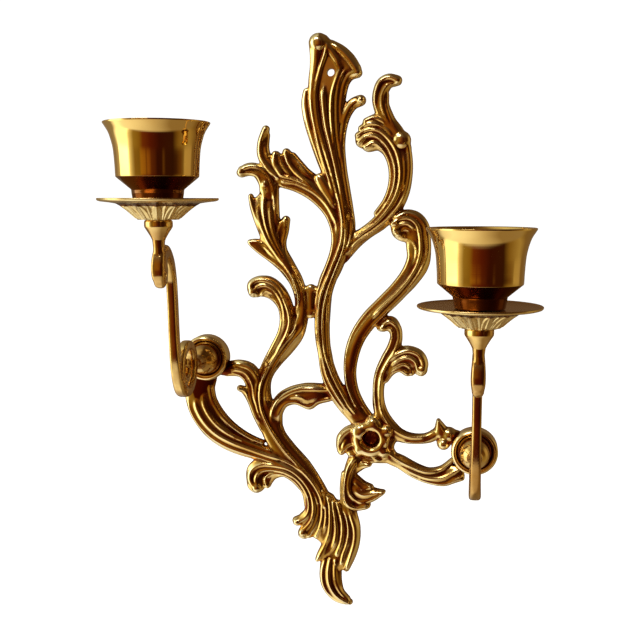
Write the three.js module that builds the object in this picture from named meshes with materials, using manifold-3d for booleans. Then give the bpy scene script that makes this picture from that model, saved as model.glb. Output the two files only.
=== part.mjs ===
// A two-light wall sconce of polished cast brass, in millimetres, +Z up.
// The wall is the plane y = 0, and the sconce stands out from it towards -Y.
// The origin is the hanging hole at the top of the backplate, on the wall plane.
import * as THREE from 'three';
import { mergeVertices } from 'three/addons/utils/BufferGeometryUtils.js';
import Module from 'manifold-3d';

const wasm = await Module();
wasm.setup();

// ---------------------------------------------------------------- driving dimensions
const GAP = 0.3;                  // clearance between pieces that rest on each other
const HOLE = { x: -3, radius: 2.4 };   // the hanging hole, in the ornament's drawing
const CANDLE_BORE = 11.2;         // fits a 22 mm taper candle
const REACH = 100.5;              // candle axis from the wall
const RISE = 101.7;               // drip pan rim above the pivot

const BOSS = { radius: 14.5, front: 12, seatRadius: 12.9, floorRadius: 10.4, web: [5.2, 8.6], backRadius: 7 };
const STUD = { radius: 2.4, end: 1 };
const CUP_SCREW = { radius: 2, headRadius: 4.2, headHeight: 1.2, recess: 4.7, seat: -0.6, tip: 81 };
const BRASS = 0xb8862f;

// Each side's pivot in the ornament's drawing: x, z.
const PIVOTS = { left: [-83, -178], right: [88.5, -233] };

// The ornament is drawn as strands. A strand is its crest height and the points of its
// centre line, each x, z and half-width, and it ends in a round cap at both ends.
const STEM = [
  [5.5, [-9.5, 17.5, 6.3], [-5, 9, 8.5], [-3.5, 0, 11], [-6.5, -12, 11.7], [-8, -22, 12.3],
    [-6.5, -32, 11.5], [-5, -44, 9.6], [-2.3, -56, 8], [1, -68, 7.5], [3.5, -82, 6.8], [4.5, -96, 6.5],
    [2, -110, 5.8], [-1.5, -120, 5.6], [-6, -130, 5.2], [-7.6, -140, 5.2], [-8.2, -152, 4.9],
    [-8.2, -165, 4.7], [-6.5, -175, 4.5], [-4.6, -185, 4.9], [-1, -195, 5.8], [6, -205, 6.3],
    [15, -214, 7], [22, -222, 7]],
  [7, [0, 14, 4], [5, 8, 5.5], [9, 3, 5], [13, -0.3, 3.2]],  // first lobe of the top leaf
  [6.5, [12, -0.5, 3], [7, -3, 4], [2.5, -10, 4.5], [0, -22, 5]],
  [7, [-18.4, -11.5, 2], [-18.6, -20, 2.5], [-16.8, -30, 2.5], [-13, -41, 2.5], [-9, -52, 2.5]],
  // second lobe
  [6.5, [15.3, -17, 3.4], [10, -19.5, 4], [5.5, -26, 4], [2.5, -36, 3.5], [1.5, -48, 3.4]],
];
const UPPER_LEFT = [
  [5.5, [3, -96, 4.5], [-1.3, -84.5, 5.6], [-8.5, -74.8, 7], [-16, -69.3, 7.3], [-24, -65, 7.3],
    [-33, -62, 8]],
  [6.5, [-44, -33.5, 2.3], [-46, -42, 3], [-45, -50, 4], [-40.5, -57, 5], [-34, -62, 5.5]],
  [6.5, [-37.5, -49.5, 2.6], [-35.5, -55, 3.4], [-30, -61, 4]],
  [6.5, [-31, -48.5, 2.8], [-26.5, -54, 4], [-20, -61, 4.3], [-12, -68, 5]],
  [6, [-10, -65, 4.5], [-5, -75, 5]],
  [7, [-60.3, -60.3, 2.8], [-56, -58.3, 3.9], [-50, -59, 4.4], [-45.5, -64, 4.8], [-43, -72, 4.8],
    [-43.5, -82, 5.5]],
];
const LEFT_LEAF = [
  [6, [-43, -72, 4.8], [-44.5, -80, 6.5], [-43, -90, 6.6], [-41.5, -100, 7], [-38, -110, 7.2],
    [-31, -119.3, 5.5], [-24.6, -129.5, 4.5], [-21.2, -140, 3.5], [-21.5, -151, 4], [-25.5, -161, 6],
    [-32.5, -170, 6.6], [-39.5, -180, 5.2], [-44.8, -190, 4.2], [-46.5, -200, 4.8], [-45.5, -210, 6],
    [-42.6, -220, 7.5], [-38.8, -230, 7.4], [-31.8, -240, 7.9], [-23, -250, 8.1], [-15.2, -260, 7.2],
    [-9.5, -270, 7.2]],
  [6, [-54, -75, 1.7], [-52, -82, 2.8], [-49, -90, 3.4], [-45, -99, 4]],
  [4.5, [-38, -68, 2], [-38, -79, 2], [-37.5, -90, 2.3], [-36, -100, 3]],
  [6, [-31.7, -90, 2.9], [-34, -97, 3.4], [-34.8, -105, 3.4], [-33, -112, 3]],
  [6, [-55, -104, 1.6], [-50, -106, 3.5], [-43, -111, 4], [-35, -117.5, 4]],
  [4, [-15.7, -133.5, 3.6], [-15.7, -141, 3.4], [-15.7, -148.5, 3.6]],  // the bridge to the stem
  [7.5, [-51.3, -133.3, 5.6], [-45, -132, 7], [-38.7, -135, 6.4], [-33.5, -141.5, 5.4],
    [-30.5, -150, 4.6], [-31, -160, 4.6], [-35.5, -170, 4.6], [-41, -180, 4.2], [-46, -190, 3.6]],
];
const LOWER_LEFT = [
  [6.5, [-76, -186, 4], [-70, -186.4, 4.4], [-63, -185.6, 5.4], [-57, -187.2, 6], [-52, -193, 5.5],
    [-50.5, -202, 4.4], [-49, -212, 4], [-45, -222, 4]],
  [6, [-62.3, -198.5, 1.6], [-58, -200.2, 3.2], [-54.5, -206, 3.2], [-51.5, -215, 2.8],
    [-47, -225, 2.6]],
  [7, [-86, -190, 9], [-89, -200, 9.8], [-88.5, -208, 9.7], [-85.3, -216, 9.4], [-79.5, -224.5, 8.8],
    [-71, -232, 7.4], [-62, -236.7, 6.2], [-52, -240, 5.4], [-40, -243, 5.5]],
  [6.5, [-38.5, -224, 4.2], [-38.3, -213, 4.6], [-34.5, -205.8, 5.2], [-27, -202, 6.2],
    [-19, -201.3, 7.6], [-12, -200, 6.6], [-4, -199, 5]],  // the tongue to the stem
  [6.5, [-17, -207.6, 3.4], [-12, -204, 4]],
  [7, [-51.8, -261.3, 6.5], [-52, -253, 6.2], [-46, -248.5, 5.5], [-36, -249, 6], [-27, -253, 6],
    [-20, -260, 5.4], [-15, -269, 4.5], [-13.5, -279, 4.5]],
  [7, [-44.8, -260.3, 3.4], [-41, -255.3, 3.5], [-34, -253.3, 3], [-26, -255.6, 3]],
];
const BOTTOM_LEAF = [
  [5.5, [-5, -271, 6], [-3, -278, 13], [-1.5, -287, 15], [1.5, -296, 11.5], [3, -304, 8.5],
    [3, -311, 6.5]],
  [7, [-25.5, -284.7, 2.5], [-21, -284, 4.2], [-17, -279.5, 3.8], [-15, -271, 3.4]],
  [7, [-20, -293, 4.4], [-15.5, -289.5, 5], [-12, -281, 5]],
  [7, [-11, -292.8, 4.6], [-8, -286, 4.6], [-6.5, -276, 4]],
  [7, [-10.8, -310.2, 1.7], [-6.8, -306.3, 3.6], [-2.5, -300, 4.6], [0, -291, 5]],
  [7, [8, -315.3, 2.3], [9.3, -308, 4.2], [11.3, -298, 5.2], [11.3, -288, 5.6], [9.5, -278, 5]],
  [6.5, [-1.5, -304, 6], [-2.6, -316, 7.3], [-2, -326, 7.2], [1.8, -333.3, 5.6], [7, -337, 3.4],
    [10.7, -338.3, 1.6]],
];
const LOWER_RIGHT = [
  [6.5, [14, -240, 4.8], [10.5, -249, 4.4], [9, -258, 4.3], [9, -267, 5], [9, -276, 5.5], [9, -284, 6]],
  [7, [22.6, -245.2, 1.6], [18, -245.8, 3], [13, -249, 3.4]],
  [6, [23.5, -260, 1.6], [18, -258.8, 2.8], [13, -255.5, 3.4]],
  [7.5, [31.8, -263, 1.3], [26, -264.5, 4], [19, -265, 5.4], [13, -262, 5.6]],
  [7, [20.8, -272.3, 2.7], [16, -271.3, 4.4], [11.5, -266, 5]],
];
const RIGHT_S = [
  [6.5, [18.5, -214, 4.5], [13.5, -205, 3.8], [10, -195, 3.5], [9, -185, 3.6], [10.3, -175, 3.6],
    [13.5, -165, 3.9], [20, -155, 4.1], [29, -145.2, 4.6], [38.8, -135.4, 5], [47, -125.4, 6],
    [51.8, -115, 7.3], [52, -107, 7.6], [50.5, -99, 7.8], [47, -93.2, 8.2], [42, -91, 7]],
  [7, [37, -91.5, 3], [39, -97, 4], [43.5, -99.5, 4]],
];
const UPPER_RIGHT = [
  [6, [4, -113, 4.5], [12, -103, 5], [20, -97, 4.4], [28, -91, 5], [35, -82.5, 6], [39, -73, 6.7],
    [40.6, -63, 7], [40.3, -53, 7.2], [37, -44, 7.5], [30, -38.5, 7.5], [22, -38, 7],
    [17.5, -40.5, 5.7]],
  [6.5, [20.5, -45, 3.3], [27, -43.5, 4], [33, -47.5, 4]],
  [7, [20.5, -31, 4.2], [26, -30, 5.5], [32, -34, 6]],
  [7, [38.2, -5.7, 2.4], [34.3, -5, 3.7], [30.6, -6.6, 4.6], [27.8, -11, 4.8], [27.2, -17, 5],
    [28.6, -23, 5.2], [32, -30, 5.2], [37, -37, 5.4], [41, -46, 6]],
  [9, [40, -40, 3.8], [41, -41, 3.8]],  // the bead on the neck
];
const RIGHT_CURL = [
  [7, [29, -156.7, 3], [34.5, -154.3, 5], [38.6, -160.5, 3.8], [38, -168, 4], [33.5, -177, 4.6],
    [29.5, -186, 4], [27.8, -196, 3.6], [28, -206, 4.1], [30.6, -214, 4.6], [36, -221.5, 4.8],
    [43, -226, 3.9], [52, -227.6, 3.4], [60, -226.6, 3.5], [66, -223.5, 4], [70, -225, 5]],
  [7.5, [31.5, -183, 4], [39, -176.6, 6.6], [47.5, -175.2, 7], [53, -178.6, 6], [54.3, -183, 4.4]],
  [7, [31, -190, 2.5], [35, -184, 3.2], [41, -181.5, 3.5], [46, -184.6, 3.2]],
  [7, [66.5, -222, 3.6], [66.5, -218, 2.8], [65.8, -215.3, 1.5]],
  [9, [70.8, -222.8, 4.2], [71.4, -222.8, 4.2]],  // the two beads by the boss
  [9, [69.6, -229.2, 4.4], [70.2, -229.2, 4.4]],
];
const ROSETTE = [
  [9, [20, -226, 10.5], [26, -229, 10.5]],
  [7, [5, -229, 4.2], [10, -225, 4.4], [16, -223, 5]],
  [7, [4.6, -236, 3.6], [9.5, -231.5, 4.4], [15, -229, 4]],
  [7, [10.5, -238, 3], [16, -236, 4.5], [26, -239.5, 5], [35, -239.5, 5]],
  [8, [32, -221, 5], [36.2, -226, 4], [33.6, -233, 4.5], [35, -239.4, 4.6], [43, -243.4, 4.6],
    [52, -248.1, 4.6], [61, -251.3, 5], [70, -252, 5.8], [77, -248.5, 5.6]],
  [6, [75, -252.5, 3.6], [81.3, -252, 1.6]],
];
const ORNAMENT = [STEM, UPPER_LEFT, LEFT_LEAF, LOWER_LEFT, BOTTOM_LEAF, LOWER_RIGHT,
  RIGHT_S, UPPER_RIGHT, RIGHT_CURL, ROSETTE].flat();
const EYE = { x: 23.3, z: -228, radius: 5.2, floor: 5 };          // the rosette's blind recess

// The arm's bar, seen from the side: distance from the wall, height above the pivot,
// half-thickness in that plane and half-width across it. It starts in the hook under
// the candle and ends in the middle of the lower volute.
const ARM_BAR = [
  [98.8, 58.7, 4.9, 3.9], [101, 64.5, 4.6, 4.1], [98.5, 70.7, 4.2, 3.7], [92, 71.3, 4.1, 3.4],
  [84.5, 66, 4, 3], [79.5, 57, 3.8, 2.7], [77.3, 45, 3.9, 2.4], [76.2, 33, 4, 2.3], [75, 20, 3.9, 2.4],
  [73, 8, 3.7, 2.8], [69, -3, 3.6, 3.3], [62.5, -10.3, 3.5, 3.7], [54, -12.3, 3.5, 3.7],
  [45, -8.7, 3.4, 3.5], [39.7, 0, 3.3, 3.2], [41.6, 9.2, 3.2, 3.1], [49.3, 14.2, 3.1, 3],
  [58.3, 13, 2.9, 2.9], [64, 6.3, 2.6, 2.8], [63.3, -1.2, 2.3, 2.6], [57.5, -5, 2.2, 2.5],
  [51.2, -2.6, 2.1, 2.4], [50.6, 3, 2.2, 2.4], [55, 4.6, 2.6, 2.6],
];

// ---------------------------------------------------------------- solids
function solid(geometry) {
  const bare = geometry.index ? geometry.toNonIndexed() : geometry.clone();
  bare.deleteAttribute('normal');
  bare.deleteAttribute('uv');
  const merged = mergeVertices(bare, 1e-4);
  return new wasm.Manifold(new wasm.Mesh({
    numProp: 3,
    vertProperties: Float32Array.from(merged.attributes.position.array),
    triVerts: Uint32Array.from(merged.index.array),
  }));
}

function geometryOf(body) {
  const mesh = body.getMesh();
  const geometry = new THREE.BufferGeometry();
  geometry.setAttribute('position', new THREE.BufferAttribute(mesh.vertProperties, 3));
  geometry.setIndex(new THREE.BufferAttribute(mesh.triVerts, 1));
  geometry.computeVertexNormals();
  return geometry;
}

// A closed skin through rings that all have the same number of points.
function skin(rings) {
  const size = rings[0].length;
  const points = rings.flat();
  const index = [];
  for (let ring = 0; ring + 1 < rings.length; ring += 1) {
    for (let i = 0; i < size; i += 1) {
      const a = ring * size + i;
      const b = ring * size + (i + 1) % size;
      index.push(a, b, b + size, a, b + size, a + size);
    }
  }
  const last = (rings.length - 1) * size;
  for (let i = 1; i + 1 < size; i += 1) {
    index.push(0, i + 1, i);
    index.push(last, last + i, last + i + 1);
  }
  const geometry = new THREE.BufferGeometry();
  const numbers = points.flatMap((point) => point.toArray());
  geometry.setAttribute('position', new THREE.Float32BufferAttribute(numbers, 3));
  geometry.setIndex(index);
  const body = solid(geometry);
  return body.volume() > 0 ? body : solid(flipped(geometry));
}

function flipped(geometry) {
  const index = Array.from(geometry.index.array);
  for (let i = 0; i < index.length; i += 3) {
    [index[i + 1], index[i + 2]] = [index[i + 2], index[i + 1]];
  }
  geometry.setIndex(index);
  return geometry;
}

// A solid turned about the Z axis, from the profile of its half section: radius, height.
function turned(profile, facets) {
  const points = [...profile, profile[0]].map(([radius, height]) => new THREE.Vector2(radius, height));
  const lathe = new THREE.LatheGeometry(points, facets);
  lathe.rotateX(Math.PI / 2);
  const body = solid(lathe);
  return body.volume() > 0 ? body : solid(flipped(mergeVertices(strip(lathe), 1e-4)));
}

function strip(geometry) {
  const bare = geometry.toNonIndexed();
  bare.deleteAttribute('normal');
  bare.deleteAttribute('uv');
  return bare;
}

// The same turned solid laid along the pivot axis: height becomes distance from the wall.
function turnedOnPivot(profile, facets) {
  return turned(profile, facets).rotate([90, 0, 0]);
}

function disc(radius, from, to, facets) {
  return [[0, from], [radius, from], [radius, to], [0, to]];
}

function smooth(points) {
  const knots = points.map((point) => new THREE.Vector3(...point));
  return new THREE.CatmullRomCurve3(knots, false, 'centripetal');
}

// Samples of a strand's smooth centre line: place, sideways direction, half-widths and
// cap factor. On the inside of a tight bend the half-width stops at the bend's radius.
function samples(points, step) {
  const line = smooth(points);
  const count = Math.max(2, Math.round(line.getLength() / step));
  const flat = (point) => new THREE.Vector2(point.x, point.y);
  const rows = [];
  for (let i = 0; i <= count; i += 1) {
    const here = line.getPoint(i / count);
    const before = flat(line.getPoint(Math.max(0, (i - 0.5) / count)));
    const after = flat(line.getPoint(Math.min(1, (i + 0.5) / count)));
    const along = after.clone().sub(before).normalize();
    rows.push({ place: flat(here), along, half: here.z, cap: 1 });
  }
  const turn = (i) => {
    const [last, next] = [rows[i - 1], rows[i + 1]];
    return last.along.cross(next.along) / last.place.distanceTo(next.place);
  };
  rows.forEach((row, i) => {
    const bend = i > 0 && i < count ? turn(i) : 0;
    row.left = bend > 0 ? Math.min(row.half, 0.9 / bend) : row.half;
    row.right = bend < 0 ? Math.min(row.half, -0.9 / bend) : row.half;
  });
  return [...capRows(rows[0], -1).reverse(), ...rows, ...capRows(rows[count], 1)];
}

const CAP_ANGLES = [60];          // degrees round each end cap

function capRows(end, direction) {
  return CAP_ANGLES.map((degrees) => {
    const angle = THREE.MathUtils.degToRad(degrees);
    const place = end.place.clone().addScaledVector(end.along, direction * end.half * Math.sin(angle));
    const cap = Math.cos(angle);
    return { place, along: end.along, left: end.left * cap, right: end.right * cap, cap };
  });
}

// One strand of the ornament: flat towards the wall, crowned in front.
const CROWN = [[-1, 0.3], [-0.5, 0.95], [0.5, 0.95], [1, 0.3]];
const STRAND_STEP = 8.5;
const BEHIND = 1;                 // strands start behind the wall plane and are cut flat on it

function strand([crest, ...points]) {
  const rings = samples(points, STRAND_STEP).map((row) => {
    const side = new THREE.Vector2(-row.along.y, row.along.x);
    const high = crest * (0.35 + 0.65 * row.cap);
    const at = (across, depth) => {
      const offset = across > 0 ? across * row.left : across * row.right;
      const place = row.place.clone().addScaledVector(side, offset);
      return new THREE.Vector3(place.x, -depth, place.y);
    };
    return [at(-1, -BEHIND), ...CROWN.map(([across, rise]) => at(across, rise * high)), at(1, -BEHIND)];
  });
  return skin(rings);
}

function joined(bodies) {
  let level = bodies;
  while (level.length > 1) {
    const next = [];
    for (let i = 0; i < level.length; i += 2) {
      next.push(i + 1 < level.length ? level[i].add(level[i + 1]) : level[i]);
    }
    level = next;
  }
  return level[0];
}

// ---------------------------------------------------------------- backplate
function bossSolid([x, z]) {
  const ring = [[0, -BEHIND], [BOSS.radius - 1, -BEHIND], [BOSS.radius, 3], [BOSS.radius, BOSS.front - 2.5],
    [BOSS.radius - 1, BOSS.front], [0, BOSS.front]];
  return turnedOnPivot(ring, 36).translate([x, 0, z]);
}

function bossCut([x, z]) {
  const [webBack, webFront] = BOSS.web;
  const bore = [[0, -5], [BOSS.backRadius, -5], [BOSS.backRadius, webBack], [STUD.radius + GAP, webBack],
    [STUD.radius + GAP, webFront], [BOSS.floorRadius, webFront], [BOSS.seatRadius, BOSS.front - 0.6],
    [BOSS.seatRadius, BOSS.front + 5], [0, BOSS.front + 5]];
  return turnedOnPivot(bore, 24).translate([x, 0, z]);
}

function backplate() {
  const pivots = Object.values(PIVOTS);
  const body = joined([...ORNAMENT.map(strand), ...pivots.map(bossSolid)]);
  const wall = solid(new THREE.BoxGeometry(400, 20, 500).translate(0, 10, -150));
  const hole = turnedOnPivot(disc(HOLE.radius, -5, 30), 16).translate([HOLE.x, 0, 0]);
  const eye = turnedOnPivot(disc(EYE.radius, EYE.floor, 30), 16).translate([EYE.x, 0, EYE.z]);
  return body.subtract(joined([...pivots.map(bossCut), wall, hole, eye]));
}

// ---------------------------------------------------------------- arm
// The bar lies in the vertical plane x = 0. Its section is an octagon.
const BAR_STEP = 5;
const CHAMFER = 0.45;             // of the half-width or half-thickness
const END_ROUND = 0.65;           // size of the last ring, against the bar's own

function armBar() {
  const line = smooth(ARM_BAR.map(([out, up, thick]) => [out, up, thick]));
  const widths = smooth(ARM_BAR.map(([out, up, , wide]) => [out, up, wide]));
  const count = Math.round(line.getLength() / BAR_STEP);
  const rings = [];
  for (let i = 0; i <= count; i += 1) {
    const u = line.getUtoTmapping(i / count);
    const here = line.getPoint(u);
    const along = line.getTangent(u).setZ(0).normalize();
    const wide = widths.getPoint(u).z;
    if (i === 0) rings.push(endRing(here, along, wide, -1));
    rings.push(barRing(here, along, here.z, wide));
    if (i === count) rings.push(endRing(here, along, wide, 1));
  }
  return skin(rings);
}

// The small last ring that rounds an end of the bar.
function endRing(here, along, wide, direction) {
  const place = here.clone().addScaledVector(along, direction * END_ROUND * here.z);
  return barRing(place, along, END_ROUND * here.z, END_ROUND * wide);
}

function barRing(here, along, thick, wide) {
  const side = new THREE.Vector2(-along.y, along.x).normalize();
  const corner = 1 - CHAMFER;
  const octagon = [[corner, 1], [1, corner], [1, -corner], [corner, -1],
    [-corner, -1], [-1, -corner], [-1, corner], [-corner, 1]];
  return octagon.map(([x, t]) => new THREE.Vector3(
    x * wide, -(here.x + side.x * t * thick), here.y + side.y * t * thick));
}

const STEM_PROFILE = [[0, 70], [3.2, 70], [3, 77.2], [4, 79.7], [5.6, 83], [7.5, 85.9], [7.7, 86.6],
  [7.7, 88.9], [7.2, RISE - 11.8], [0, RISE - 11.8]];
const NECK_PROFILE = [[0, STUD.end], [STUD.radius, STUD.end], [STUD.radius, 23.8], [4.2, 23.8], [4.6, 25],
  [3.9, 27.5], [3.4, 31], [3.6, 35], [3.4, 38], [0, 38]];

function arm() {
  const stem = turned(STEM_PROFILE, 16).translate([0, -REACH, 0]);
  const tapped = turned(disc(CUP_SCREW.radius + GAP, CUP_SCREW.tip - 1, RISE), 12).translate([0, -REACH, 0]);
  const neck = turnedOnPivot(NECK_PROFILE, 16);
  return joined([armBar(), stem, neck]).subtract(tapped);
}

// ---------------------------------------------------------------- pivot hardware
function knob() {
  const bore = STUD.radius + GAP;
  const seat = BOSS.web[1] + GAP;
  return turnedOnPivot([[bore, seat], [8.9, seat], [9.5, 9.8], [9.8, 12.4], [9.3, 15.6], [8, 18.7], [5.9, 21.3],
    [4.2, 23.5], [bore, 23.5]], 16);
}

function washer() {
  return turnedOnPivot([[STUD.radius + GAP, 4.1], [6, 4.1], [6, 4.9], [STUD.radius + GAP, 4.9]], 16);
}

function nut() {
  const hexagon = turnedOnPivot([[0, 1], [4.3, 1], [4.7, 1.4], [4.7, 3.8], [0, 3.8]], 6);
  return hexagon.subtract(turnedOnPivot(disc(STUD.radius + GAP, 0, 5), 16));
}

// ---------------------------------------------------------------- candle end
// Heights above the drip pan's rim.
const TURNED_FACETS = 24;
const PAN_PROFILE = [
  [2.6, -2.1], [13.5, -2.1], [31.2, -0.6], [32.1, 0], [32.6, -0.7], [31.6, -1.9],
  [22.5, -3], [17.5, -5.8], [12.9, -9.6], [10.7, -11.5], [2.6, -11.5],
];
const CUP_PROFILE = [
  [2.4, -1.8], [13.1, -1.8], [13.9, 2.2], [14.1, 4.4], [22.2, 11.1], [22.4, 17], [23.2, 26],
  [25.2, 33.8], [28.5, 39], [28, 40], [27, 39.8], [23.6, 33.6], [21.6, 25], [20.6, 12.2],
  [19.2, 10.9], [CANDLE_BORE + 1, 9.6], [CANDLE_BORE, 8.6], [CANDLE_BORE, 1],
  [CUP_SCREW.recess, 1], [CUP_SCREW.recess, CUP_SCREW.seat], [2.4, CUP_SCREW.seat],
];

// The screw's head lies sunk in the recess, so that the candle stands on the cup's floor.
function cupScrew() {
  const { radius, headRadius, headHeight, seat, tip } = CUP_SCREW;
  const head = seat + GAP;
  const top = head + headHeight;
  const body = turned([[0, tip - RISE], [radius, tip - RISE], [radius, head], [headRadius, head],
    [headRadius, top - 0.4], [headRadius - 0.5, top], [0, top]], 12);
  const slot = solid(new THREE.BoxGeometry(10, 0.9, 1.2).translate(0, 0, top));
  return body.subtract(slot);
}

// ---------------------------------------------------------------- assembly
function brass(color, roughness) {
  return new THREE.MeshStandardMaterial({ color, roughness, metalness: 1 });
}

function piece(name, body, color = BRASS, roughness = 0.2) {
  const mesh = new THREE.Mesh(geometryOf(body), brass(color, roughness));
  mesh.name = name;
  return mesh;
}

function side(name, [x, z]) {
  const group = new THREE.Group();
  group.position.set(x, 0, z);
  group.add(
    piece(`${name}_arm`, arm()),
    piece(`${name}_pivot_knob`, knob()),
    piece(`${name}_rear_washer`, washer(), 0xa8894e, 0.4),
    piece(`${name}_rear_nut`, nut(), 0xa8894e, 0.4),
  );
  const candle = new THREE.Group();
  candle.position.set(0, -REACH, RISE);
  candle.add(
    piece(`${name}_drip_pan`, turned(PAN_PROFILE, TURNED_FACETS), 0xc39a45, 0.3),
    piece(`${name}_candle_cup`, turned(CUP_PROFILE, TURNED_FACETS), BRASS, 0.08),
    piece(`${name}_cup_screw`, cupScrew(), 0xa8894e, 0.35),
  );
  group.add(candle);
  return group;
}

// The ornament's drawing is moved so that the hanging hole is the origin.
const sconce = new THREE.Group();
sconce.position.set(-HOLE.x, 0, 0);
sconce.add(piece('backplate', backplate()));
Object.entries(PIVOTS).forEach(([name, pivot]) => sconce.add(side(name, pivot)));

export default sconce;
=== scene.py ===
"""The looks of a two-light brass wall sconce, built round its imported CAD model.

The CAD frame is in metres, +Z up. The wall is the plane y = 0 and the sconce stands out
from it towards -Y. The origin is the hanging hole. Shapes here are worked out in
millimetres and scaled to metres when a mesh is made.
"""
import math

import bmesh
import bpy
import numpy as np
from mathutils import Matrix, Quaternion, Vector


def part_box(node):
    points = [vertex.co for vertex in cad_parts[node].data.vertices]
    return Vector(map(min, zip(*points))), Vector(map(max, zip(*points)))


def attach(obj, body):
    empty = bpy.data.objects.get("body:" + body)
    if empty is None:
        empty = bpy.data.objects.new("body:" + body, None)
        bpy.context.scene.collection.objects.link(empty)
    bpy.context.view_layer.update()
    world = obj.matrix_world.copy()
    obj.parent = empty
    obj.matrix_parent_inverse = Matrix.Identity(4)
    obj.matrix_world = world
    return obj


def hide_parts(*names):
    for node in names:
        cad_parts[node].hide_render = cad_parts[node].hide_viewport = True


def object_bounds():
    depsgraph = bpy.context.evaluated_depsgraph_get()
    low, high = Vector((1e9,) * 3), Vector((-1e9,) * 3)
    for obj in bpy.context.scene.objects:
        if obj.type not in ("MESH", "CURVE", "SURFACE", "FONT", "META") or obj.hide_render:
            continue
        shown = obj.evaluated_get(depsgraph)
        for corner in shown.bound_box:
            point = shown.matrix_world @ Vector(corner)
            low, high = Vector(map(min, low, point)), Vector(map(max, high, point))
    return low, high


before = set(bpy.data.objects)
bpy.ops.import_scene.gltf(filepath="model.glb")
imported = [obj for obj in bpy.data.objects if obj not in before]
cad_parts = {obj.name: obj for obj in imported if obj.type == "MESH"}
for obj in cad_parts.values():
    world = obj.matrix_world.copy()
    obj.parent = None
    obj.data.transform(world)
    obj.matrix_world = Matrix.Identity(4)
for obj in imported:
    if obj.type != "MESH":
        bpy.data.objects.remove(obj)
CAD_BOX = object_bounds()

MM = 0.001
DRAWING_SHIFT = 3.0            # the ornament's drawing has its zero 3 mm right of the hole
SIDES = ("left", "right")


# ------------------------------------------------------------------ where things are
def centre(node):
    low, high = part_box(node)
    return (low + high) / 2 / MM


def pivot_of(side):
    middle = centre(f"{side}_pivot_knob")
    return middle.x, middle.z


def pan_rim_of(side):
    """Axis and rim height of a drip pan: x, y, z in millimetres."""
    middle = centre(f"{side}_drip_pan")
    return middle.x, middle.y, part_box(f"{side}_drip_pan")[1].z / MM


REACH = -centre("left_drip_pan").y              # candle axis from the wall
RISE = pan_rim_of("left")[2] - pivot_of("left")[1]
HOLE_RADIUS = 2.4
EYE = (23.3, -228.0)                            # the rosette's eye, in the drawing
BOSS_RADIUS = 14.5
BOSS_FRONT = 12.0
WEB = (5.2, 8.6)                                # the boss's web, behind the knob
GAP = 0.3
BORE = 2.4 + GAP                                # radius of the holes round the 4.8 mm stud

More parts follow.
